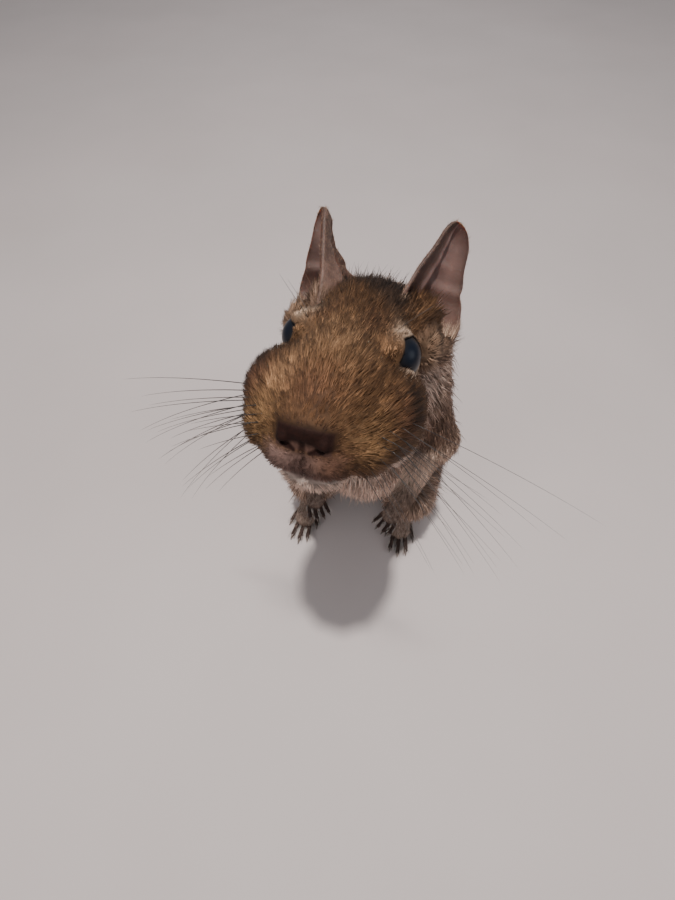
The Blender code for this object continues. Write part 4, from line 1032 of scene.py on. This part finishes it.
def build_ear(name, side):
    """A cupped leaf: an inner and an outer skin stitched round their rim."""
    root = np.array(EAR_ROOTS[side], float)
    tip = np.array(EAR_TIPS[side], float)
    axis = unit(tip - root)
    face = np.array(EAR_FACES[side])
    face = unit(face - axis * (face @ axis))
    across = np.cross(axis, face) * side
    inner, outer, reach, spread = [], [], [], []
    length = np.linalg.norm(tip - root)
    for i in range(EAR_ROWS):
        u = 1 - (1 - i / (EAR_ROWS - 1)) ** 1.7
        front = EAR_HALF_WIDTH * ear_profile(u, EAR_FRONT)
        rear = EAR_HALF_WIDTH * ear_profile(u, EAR_REAR)
        rear *= 1 - 0.11 * math.exp(-((u - 0.56) / 0.05) ** 2) + 0.02 * math.sin(23 * u + side)
        front *= 1 + 0.02 * math.sin(19 * u + 1 + side)
        if side < 0:
            rear *= 1 + 0.12 * math.exp(-((u - 0.38) / 0.15) ** 2) - 0.3 * ramp(u, 0.6, 0.9)
            rear *= 0.84 + 0.16 * ramp(u, 0.05, 0.32)
        cup = math.radians(EAR_CUP_ROOT + (EAR_CUP_TIP - EAR_CUP_ROOT) * min(1.0, u * 1.4))
        sag = face * (-EAR_ARCH[side] * math.sin(math.pi * u)) + across * EAR_SWEEP * u * (1 - u)
        centre = root + axis * length * u + sag
        for j in range(EAR_COLUMNS):
            v = -1 + 2 * j / (EAR_COLUMNS - 1)
            width = front if v < 0 else rear
            swing = v * cup / 2
            bend = width / max(math.sin(min(cup / 2, math.pi / 2)), 0.2)
            radial = across * math.sin(swing) - face * math.cos(swing) * EAR_DEEPER[side]
            middle = face * math.cos(cup / 2) * EAR_DEEPER[side]
            rim = abs(v) ** 3
            fold = EAR_RIM_FOLD * rim * math.sin(math.pi * min(1.0, u * 1.15))
            thick = EAR_THICK_ROOT * (1 - u) + EAR_THICK_RIM * u
            thick = thick * (1 - rim) + EAR_THICK_RIM * rim
            ridge = 0.26 * math.sin(v * 7.0 + 2.0 * u) * (1 - u) * (1 - rim)
            ridge += 0.07 * math.sin(u * 46.0 + v * 2.0) * (1 - v * v) * min(1.0, u * 4)
            point = centre + (radial + middle) * bend - face * fold + face * ridge
            inner.append(point)
            outer.append(point + radial * thick)
            reach.append(u)
            spread.append(v)
    verts = from_head(np.array(inner + outer))
    shift = len(inner)
    faces = []
    for i in range(EAR_ROWS - 1):
        for j in range(EAR_COLUMNS - 1):
            a = i * EAR_COLUMNS + j
            b, c, d = a + 1, a + EAR_COLUMNS + 1, a + EAR_COLUMNS
            faces.append((a, b, c, d))
            faces.append((shift + d, shift + c, shift + b, shift + a))
    last = EAR_ROWS - 1
    rim = list(range(EAR_COLUMNS))
    rim += [i * EAR_COLUMNS + EAR_COLUMNS - 1 for i in range(1, EAR_ROWS)]
    rim += [last * EAR_COLUMNS + j for j in range(EAR_COLUMNS - 2, -1, -1)]
    rim += [i * EAR_COLUMNS for i in range(last - 1, 0, -1)]
    for n, a in enumerate(rim):
        b = rim[(n + 1) % len(rim)]
        faces.append((b, a, shift + a, shift + b))
    thing = add_mesh(name, verts, faces)
    face_outward(thing)
    reach, spread = np.array(reach), np.array(spread)
    inside = np.repeat((1.0, 0.0), shift)
    grow_ear_down(name, side, thing, from_head(axis) - from_head((0, 0, 0)),
                  np.tile(reach, 2), np.tile(spread, 2), inside)
    add_floats(thing.data, "reach", np.tile(reach, 2))
    add_floats(thing.data, "spread", np.tile(spread, 2))
    add_floats(thing.data, "inside", inside)
    return thing


EAR_DOWN = []


def grow_ear_down(name, side, thing, axis, reach, spread, inside):
    """Short down on the back of the ear and its rim, and longer pale hair at its base."""
    flat = np.array([p.vertices[:] for p in thing.data.polygons if len(p.vertices) == 4])
    verts = np.array([v.co[:] for v in thing.data.vertices]) / MM - ROOT_SHIFT
    rim = ramp(np.abs(spread), 0.86, 0.98) + ramp(reach, 0.93, 0.99)
    base = 1 - ramp(reach, 0.08, 0.42)
    density = 8.0 * (1 - inside) * (1 - 0.4 * reach) + 6.0 * np.clip(rim, 0, 1) + 9.0 * inside * base
    place, normal = surface_samples(verts, flat, density)
    tree = KDTree(len(verts))
    for i, point in enumerate(verts):
        tree.insert(point, i)
    tree.balance()
    nearest = np.array([tree.find(p)[1] for p in place])
    far, inner = reach[nearest], inside[nearest]
    hair = 1 - ramp(far, 0.08, 0.4)
    flow = axis + RNG.normal(size=(len(place), 3)) * 0.28
    flow = unit(flow - normal * (flow * normal).sum(axis=1, keepdims=True))
    length = (0.9 + 2.6 * hair + 1.6 * hair * inner) * RNG.uniform(0.6, 1.2, len(place))
    colours = np.tile(TONES["flank"], (len(place), 1))
    colours = over(colours, "crown", (1 - inner) * (1 - far) * 0.5)
    pale = 0.4 if side > 0 else 0.25
    colours = over(colours, "cream", inner * hair * (RNG.random(len(place)) < pale) * 0.8)
    uv = unwrap(place, from_head((EAR_ROOTS[side][0], 36.0, 14.0)), (0.2 * side, -0.3, 1.0))
    EAR_DOWN.append(tuft_mesh(
        name + "_down", place, normal, flow, length, np.full(len(place), 0.13),
        0.22 + 0.25 * hair, np.zeros(len(place)), place, uv,
        {"tone": RNG.uniform(0.25, 0.8, len(place)), "strand": RNG.random(len(place))},
        colours, 1))


def face_outward(thing):
    mesh = bmesh.new()
    mesh.from_mesh(thing.data)
    bmesh.ops.recalc_face_normals(mesh, faces=mesh.faces[:])
    mesh.to_mesh(thing.data)
    mesh.free()


# Eyes, claws, whiskers and the tail tuft

def build_eye(name, side):
    """A ball with a slightly raised cornea along its axis."""
    centre = np.array((EYE_CENTRE[0] * side, EYE_CENTRE[1], EYE_CENTRE[2]))
    axis = unit(np.array((EYE_AXIS[0] * side, EYE_AXIS[1], EYE_AXIS[2])))
    mesh = bmesh.new()
    bmesh.ops.create_icosphere(mesh, subdivisions=5, radius=1.0)
    turn = Vector((0, 0, 1)).rotation_difference(Vector(axis)).to_matrix()
    verts = []
    for vert in mesh.verts:
        way = turn @ vert.co
        facing = max(0.0, vert.co.z)
        verts.append(centre + np.array(way) * (EYE_RADIUS + 0.12 * facing ** 6))
    faces = [[v.index for v in face.verts] for face in mesh.faces]
    facing = np.array([vert.co.z for vert in mesh.verts])
    mesh.free()
    eye = add_mesh(name, from_head(np.array(verts)), faces)
    add_floats(eye.data, "facing", facing)
    return eye


def rings_mesh(name, paths, radii, sides, flat=1.0):
    """Tapered closed tubes down many paths, as one mesh; the last point is a tip."""
    verts, faces, along, which = [], [], [], []
    for n, (path, radius) in enumerate(zip(paths, radii)):
        path = np.array(path)
        base = len(verts)
        rings = len(path) - 1
        for i in range(rings):
            ahead = unit(path[i + 1] - path[max(i - 1, 0)])
            across = unit(np.cross(ahead, (0.1, 0.3, 1.0)))
            rise = np.cross(across, ahead)
            for j in range(sides):
                turn = 2 * math.pi * j / sides
                verts.append(path[i] + across * math.cos(turn) * radius[i]
                             + rise * math.sin(turn) * radius[i] * flat)
                along.append(i / rings)
                which.append(n)
        verts.append(path[-1])
        along.append(1.0)
        which.append(n)
        faces.append([base + j for j in range(sides)])
        for i in range(rings - 1):
            for j in range(sides):
                k = (j + 1) % sides
                low = base + i * sides
                faces.append((low + k, low + j, low + sides + j, low + sides + k))
        low = base + (rings - 1) * sides
        for j in range(sides):
            faces.append((low + (j + 1) % sides, low + j, len(verts) - 1))
    thing = add_mesh(name, np.array(verts), faces)
    add_floats(thing.data, "along", np.array(along))
    add_floats(thing.data, "tone", np.random.default_rng(3).random(len(paths))[which])
    return thing


def claw_path(tip, way, length, drop):
    steps = np.linspace(0, 1, 7)
    return [tip + way * length * t - np.array((0, 0, drop)) * t * t for t in steps]


def build_claws():
    paths, radii = [], []
    for side in (1, -1):
        for _, _, tip, way in toe_bones(side):
            start = tip - way * 0.4 + np.array((0, 0, 0.35))
            path = claw_path(start, unit(way + np.array((0, 0, 0.12))), CLAW_LENGTH, 1.15)
            path = [np.array((p[0], p[1], max(p[2], 0.2))) for p in path]
            paths.append(path)
            radii.append(0.55 * (1 - np.linspace(0, 1, 7)) ** 0.6 + 0.03)
        for _, _, tip, way in finger_bones(side):
            paths.append(claw_path(tip - way * 0.2, way, FORE_CLAW_LENGTH, 0.3))
            radii.append(0.36 * (1 - np.linspace(0, 1, 7)) ** 0.6 + 0.02)
    return rings_mesh("claws", paths, radii, 8, 0.8)


def build_bristles():
    """The comb of pale bristles that grows over the claws of each hind toe, and on the hands."""
    rng = np.random.default_rng(7)
    paths, radii = [], []
    steps = np.linspace(0, 1, 4)
    for side in (1, -1):
        for bones, width, count, size in ((toe_bones(side), TOE_RADIUS, 34, 2.8),
                                          (finger_bones(side), FINGER_RADIUS, 12, 1.5)):
            for start, middle, tip, way in bones:
                across = unit(np.cross(way, (0.0, 0.0, 1.0)))
                up = np.cross(across, way)
                for n in range(count):
                    share = rng.uniform(0.0, 1.0)
                    turn = rng.uniform(0.75, 1.6) * rng.choice((-1, 1))
                    out = across * math.sin(turn) + up * math.cos(turn)
                    root = start + (tip - start) * share + up * 0.25 + out * width * 0.75
                    lean = unit(way + out * rng.uniform(0.1, 0.4))
                    length = size * rng.uniform(0.6, 1.15)
                    line = [root + lean * length * t - up * 0.5 * t * t for t in steps]
                    paths.append([np.array((p[0], p[1], max(p[2], 0.1))) for p in line])
                    radii.append(0.095 * (1 - 0.75 * steps))
    return rings_mesh("toe_bristles", paths, radii, 3)


WHISKER_ROWS = 5
WHISKERS_IN_ROW = 5
WHISKER_LENGTH = 50.5


def build_whiskers():
    """Rows of stiff feelers on both pads, and a few over each eye."""
    rng = np.random.default_rng(5)
    paths, radii = [], []
    for side in (1, -1):
        first, step = (-16, 9) if side > 0 else (-12, 8)
        for row in range(WHISKER_ROWS):
            for column in range(side > 0, WHISKERS_IN_ROW):
                root = np.array((side * (8.0 + column * 1.1 - 0.25 * row), 4.2 + column * 1.7,
                                 1.2 - row * 1.5 + 0.12 * column))
                length = WHISKER_LENGTH * (0.20 + 0.11 * column + 0.10 * rng.random())
                spread = math.radians(first - row * step + rng.uniform(-6, 6))
                way = unit((side * math.cos(spread), -0.16 + 0.06 * column
                            + rng.uniform(-0.08, 0.08), math.sin(spread)))
                bend = np.array((-side * 0.04, 0.10, -0.12)) * length
                root = on_skin(from_head(root))
                turn = HEAD_TURN @ way
                steps = np.linspace(0, 1, 11)
                paths.append([root + turn * (length * t - 0.8) + HEAD_TURN @ bend * t ** 2
                              for t in steps])
                radii.append((0.055 if side > 0 else 0.085) * (1 - 0.78 * steps))
        for x, y, z, length in ((7.0, 20.0, 11.5, 9.0), (7.6, 22.0, 12.0, 7.0)):
            root = on_skin(from_head((x * side, y, z)))
            way = HEAD_TURN @ unit((side * 0.6, -0.1, 0.75))
            steps = np.linspace(0, 1, 8)
            paths.append([root + way * (length * t - 0.6)
                          + HEAD_TURN @ np.array((side * 0.1, 0.3, -0.1)) * length * t ** 2
                          for t in steps])
            radii.append((0.035 if side > 0 else 0.06) * (1 - 0.7 * steps))
    return rings_mesh("whiskers", paths, radii, 5)


def on_skin(point):
    """Move a point straight onto the skin."""
    place = np.array(point, float)[None]
    for _ in range(12):
        place = toward_level(skin_form, place, 1.0)
    return place[0]


TUFT_HAIRS = 900


def build_tuft():
    """Stiff dark hairs, longest at the end of the tail."""
    rng = np.random.default_rng(9)
    path = np.array(smooth_path(TAIL_PATH[4:], 8))
    paths, radii = [], []
    for n in range(TUFT_HAIRS):
        share = 0.94 * rng.random() ** 0.75
        index = min(int(share * (len(path) - 2)), len(path) - 2)
        ahead = unit(path[index + 1] - path[index])
        across = unit(np.cross(ahead, (0.0, 0.0, 1.0)))
        rise = np.cross(across, ahead)
        turn = rng.uniform(0, 2 * math.pi)
        out = across * math.cos(turn) + rise * math.sin(turn)
        length = (5.0 + 8.0 * ramp(share, 0.1, 0.6) - 4.5 * ramp(share, 0.6, 0.94)) * rng.uniform(0.6, 1.1)
        root = path[index] + out * 0.8
        way = unit(ahead + out * rng.uniform(0.08, 0.34))
        bend = np.array((rng.normal() * 0.5, 0.0, -0.6)) * length * 0.08
        steps = np.linspace(0, 1, 5)
        line = [root + way * length * t + bend * t * t for t in steps]
        line = [np.array((p[0], p[1], max(p[2], 0.3))) for p in line]
        paths.append(line)
        radii.append(0.24 * np.array((0.9, 1.0, 0.85, 0.55, 0.0)) * rng.uniform(0.8, 1.2))
    return rings_mesh("tail_brush", paths, radii, 3, 0.7)


# Materials

class Nodes:
    """A small helper that adds shader nodes and joins them."""

    def __init__(self, name):
        self.material = bpy.data.materials.new(name)
        self.material.use_nodes = True
        self.tree = self.material.node_tree
        self.shader = self.tree.nodes["Principled BSDF"]

    def add(self, kind, inputs=None, **settings):
        node = self.tree.nodes.new(kind)
        for key, value in settings.items():
            setattr(node, key, value)
        for key, value in (inputs or {}).items():
            self.put(node, key, value)
        return node

    def put(self, node, key, value):
        socket = node.inputs[key]
        if isinstance(value, bpy.types.NodeSocket):
            self.tree.links.new(value, socket)
        else:
            socket.default_value = value

    def attribute(self, name, output="Fac"):
        return self.add("ShaderNodeAttribute", attribute_name=name).outputs[output]

    def noise(self, scale, detail=3.0, output="Fac"):
        place = self.add("ShaderNodeTexCoord").outputs["Object"]
        return self.add("ShaderNodeTexNoise", {"Vector": place, "Scale": scale,
                                               "Detail": detail}).outputs[output]

    def ramp(self, factor, stops):
        node = self.add("ShaderNodeValToRGB", {"Fac": factor})
        band = node.color_ramp
        while len(band.elements) < len(stops):
            band.elements.new(0.5)
        for element, (place, colour) in zip(band.elements, stops):
            element.position = place
            element.color = (*colour, 1.0) if len(colour) == 3 else colour
        return node.outputs["Color"]

    def mix(self, factor, first, second, blend_type="MIX"):
        node = self.add("ShaderNodeMix", data_type="RGBA", blend_type=blend_type)
        self.put(node, 0, factor)
        self.put(node, 6, first)
        self.put(node, 7, second)
        return node.outputs[2]

    def math(self, operation, first, second=0.0):
        node = self.add("ShaderNodeMath", operation=operation)
        self.put(node, 0, first)
        self.put(node, 1, second)
        return node.outputs[0]

    def bump(self, height, distance, strength):
        node = self.add("ShaderNodeBump", {"Height": height, "Distance": distance,
                                           "Strength": strength})
        self.put(self.shader, "Normal", node.outputs["Normal"])


def grey(value):
    return (value, value, value)


def coat_material(name="coat"):
    look = Nodes(name)
    hide = look.attribute("hide", "Color")
    along = look.ramp(look.attribute("along"), (
        (0.0, grey(0.45)), (0.35, grey(0.95)), (0.7, grey(1.35)), (1.0, grey(1.25))))
    clump = look.ramp(look.attribute("tone"), (
        (0.05, (0.48, 0.44, 0.41)), (0.35, (0.82, 0.79, 0.76)), (0.65, (1.25, 1.24, 1.22)),
        (0.95, (1.95, 1.97, 1.98))))
    strand = look.ramp(look.attribute("strand"), (
        (0.0, grey(0.6)), (0.25, grey(0.9)), (0.8, grey(1.1)), (1.0, grey(1.5))))
    dark_tip = look.math("MULTIPLY", look.ramp(look.attribute("along"), (
        (0.6, grey(0.0)), (0.95, grey(1.0)))), look.ramp(look.attribute("strand"), (
            (0.20, grey(0.6)), (0.26, grey(0.0)))))
    colour = look.mix(1.0, hide, along, "MULTIPLY")
    colour = look.mix(1.0, colour, clump, "MULTIPLY")
    colour = look.mix(1.0, colour, strand, "MULTIPLY")
    colour = look.mix(dark_tip, colour, (0.010, 0.007, 0.005, 1.0))
    look.put(look.shader, "Base Color", colour)
    look.shader.inputs["Roughness"].default_value = 0.6
    look.shader.inputs["Specular IOR Level"].default_value = 0.25
    return look.material


def skin_material():
    look = Nodes("skin")
    hide = look.attribute("hide", "Color")
    under = look.mix(1.0, hide, look.ramp(look.noise(900.0), (
        (0.3, grey(0.38)), (0.7, grey(0.75)))), "MULTIPLY")
    pads = look.mix(1.0, hide, look.ramp(look.noise(1300.0), (
        (0.3, grey(0.65)), (0.7, grey(1.05)))), "MULTIPLY")
    colour = look.mix(look.attribute("pads"), under, pads)
    leather = look.mix(1.0, hide, look.ramp(look.noise(1700.0), (
        (0.3, grey(0.70)), (0.75, grey(1.2)))), "MULTIPLY")
    colour = look.mix(look.attribute("leather"), colour, leather)
    paw = look.ramp(look.noise(1200.0), ((0.3, tuple(TONES["paw"] * 0.45)),
                                         (0.7, tuple(TONES["paw"] * 0.85))))
    colour = look.mix(look.attribute("paw"), colour, paw)
    toe = look.ramp(look.noise(1400.0), ((0.3, tuple(TONES["toe"] * 0.7)),
                                         (0.7, tuple(TONES["toe"] * 1.5))))
    colour = look.mix(look.attribute("toe"), colour, toe)
    look.put(look.shader, "Base Color", colour)
    rough = look.ramp(look.attribute("leather"), ((0.0, grey(0.75)), (1.0, grey(0.72))))
    look.put(look.shader, "Roughness", rough)
    look.shader.inputs["Specular IOR Level"].default_value = 0.14
    cells = look.add("ShaderNodeTexVoronoi", {
        "Vector": look.add("ShaderNodeTexCoord").outputs["Object"], "Scale": 3400.0})
    look.bump(cells.outputs["Distance"], 0.00006, 0.5)
    return look.material


def ear_material():
    look = Nodes("ear_skin")
    spread = look.math("MULTIPLY_ADD", look.attribute("spread"), 0.5)
    spread.node.inputs[2].default_value = 0.5
    inside = look.ramp(spread, (
        (0.0, tuple(srgb(78, 56, 48))), (0.36, tuple(srgb(86, 62, 54))),
        (0.43, tuple(srgb(116, 90, 84))), (0.78, tuple(srgb(122, 94, 86))),
        (0.93, tuple(srgb(104, 79, 71))), (1.0, tuple(srgb(80, 58, 50)))))
    outside = look.ramp(look.noise(700.0), ((0.3, tuple(srgb(74, 54, 46))),
                                            (0.7, tuple(srgb(104, 79, 69)))))
    colour = look.mix(look.attribute("inside"), outside, inside)
    veins = look.ramp(look.noise(260.0, 6.0), ((0.35, grey(0.78)), (0.65, grey(1.12))))
    colour = look.mix(1.0, colour, veins, "MULTIPLY")
    root = look.ramp(look.attribute("reach"), ((0.0, grey(0.9)), (0.35, grey(1.3)), (0.6, grey(0.95)),
                                               (1.0, grey(0.75))))
    colour = look.mix(1.0, colour, root, "MULTIPLY")
    look.put(look.shader, "Base Color", colour)
    look.shader.inputs["Roughness"].default_value = 0.58
    look.shader.inputs["Specular IOR Level"].default_value = 0.35
    look.shader.inputs["Subsurface Weight"].default_value = 0.3
    look.shader.inputs["Subsurface Scale"].default_value = 0.002
    look.shader.inputs["Subsurface Radius"].default_value = (1.0, 0.35, 0.2)
    look.bump(look.noise(2400.0, 4.0), 0.0001, 0.6)
    return look.material


def eye_material():
    look = Nodes("eye")
    # The eye is near-black; its middle, where the cornea faces out, is tinted blue as a painted reflection.
    colour = look.ramp(look.attribute("facing"), (
        (0.0, (0.012, 0.008, 0.007)), (0.75, (0.009, 0.008, 0.009)), (0.93, (0.003, 0.005, 0.011)),
        (1.0, (0.002, 0.004, 0.010))))
    look.put(look.shader, "Base Color", colour)
    look.shader.inputs["Roughness"].default_value = 0.33
    look.shader.inputs["Specular IOR Level"].default_value = 0.22
    return look.material


def strand_material(name, root, tip, roughness):
    look = Nodes(name)
    colour = look.ramp(look.attribute("along"), ((0.0, root), (1.0, tip)))
    tone = look.ramp(look.attribute("tone"), ((0.0, grey(0.6)), (1.0, grey(1.5))))
    look.put(look.shader, "Base Color", look.mix(1.0, colour, tone, "MULTIPLY"))
    look.shader.inputs["Roughness"].default_value = roughness
    return look.material


def dress(thing, material):
    thing.data.materials.clear()
    thing.data.materials.append(material)
    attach(thing, "root")
    return thing


# Stage

def build_stage():
    size = 1.6
    floor = add_mesh("floor", np.array(((-size, -size, 0), (size, -size, 0), (size, size, 0),
                                        (-size, size, 0))) / MM - ROOT_SHIFT, [(0, 1, 2, 3)])
    look = Nodes("floor")
    colour = look.ramp(look.noise(9.0, 5.0), ((0.3, (0.57, 0.49, 0.465)), (0.7, (0.61, 0.525, 0.50))))
    look.put(look.shader, "Base Color", colour)
    look.shader.inputs["Roughness"].default_value = 0.6
    floor.data.materials.append(look.material)

    world = bpy.data.worlds.new("studio")
    bpy.context.scene.world = world
    world.use_nodes = True
    world.node_tree.nodes["Background"].inputs["Color"].default_value = (0.93, 0.95, 1.0, 1.0)
    world.node_tree.nodes["Background"].inputs["Strength"].default_value = 0.32
    animal = (0.0, -0.04, 0.06)
    for name, place, aim, size, power, colour in (
            ("key", (-0.0112, -0.1085, 0.64), animal, 0.03, 3.7, (1.0, 0.975, 0.95)),
            ("fill", (-0.5, -0.6, 0.5), animal, 0.45, 1.2, (0.95, 0.97, 1.0)),
            ("back", (-0.1, 0.60, 0.6), (-0.1, 0.62, 0.0), 0.5, 1.3, (0.95, 0.97, 1.0)),
            ("window", (0.65, -0.1, 0.4), animal, 0.4, 0.8, (0.90, 0.95, 1.0))):
        light = bpy.data.lights.new(name, "AREA")
        light.shape = "DISK"
        light.size = size
        light.energy = power
        light.color = colour
        lamp = bpy.data.objects.new(name, light)
        lamp.location = place
        lamp.rotation_euler = (Vector(aim) - Vector(place)).to_track_quat(
            "-Z", "Y").to_euler()
        bpy.context.scene.collection.objects.link(lamp)

    camera = bpy.data.cameras.new("camera")
    camera.sensor_width = SENSOR
    camera.lens = FOCAL_PIXELS * SENSOR / PHOTO_SIZE[1]
    camera.clip_start = 0.005
    eye = bpy.data.objects.new("camera", camera)
    eye.location = to_model(CAMERA_PLACE)
    eye.rotation_euler = (math.radians(90 - CAMERA_DOWN), 0.0, math.radians(CAMERA_TURN))
    bpy.context.scene.collection.objects.link(eye)
    bpy.context.scene.camera = eye


FLESH = ("head", "snout", "neck", "chest", "abdomen", "thigh_left", "thigh_right",
         "foreleg_left", "foreleg_right", "forepaw_left", "forepaw_right",
         "hind_foot_left", "hind_foot_right", "tail_base", "tail_middle")


def main():
    build_stage()
    coat = coat_material()
    skin, verts, faces, weights = build_skin()
    dress(skin, skin_material())
    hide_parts(*FLESH)
    for piece in build_coat(verts, faces, weights):
        dress(piece, coat)
    ears = ear_material()
    eyes = eye_material()
    for label, side in (("left", 1), ("right", -1)):
        ear = dress(build_ear("outer_ear_" + label, side), ears)
        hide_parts("ear_" + label)
        eye = dress(build_eye("eyeball_" + label, side), eyes)
        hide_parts("eye_" + label)
    for piece in EAR_DOWN:
        dress(piece, coat)
    claws = strand_material("claw", (0.05, 0.036, 0.03), (0.20, 0.16, 0.13), 0.3)
    dress(build_claws(), claws)
    bristle = strand_material("bristle", (0.42, 0.37, 0.33), (0.70, 0.63, 0.58), 0.5)
    dress(build_bristles(), bristle)
    whisker = strand_material("whisker", (0.02, 0.016, 0.014), (0.10, 0.08, 0.07), 0.35)
    dress(build_whiskers(), whisker)
    brush = strand_material("brush", (0.035, 0.024, 0.018), (0.012, 0.010, 0.009), 0.5)
    tuft = dress(build_tuft(), brush)
    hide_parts("tail_tuft")


main()
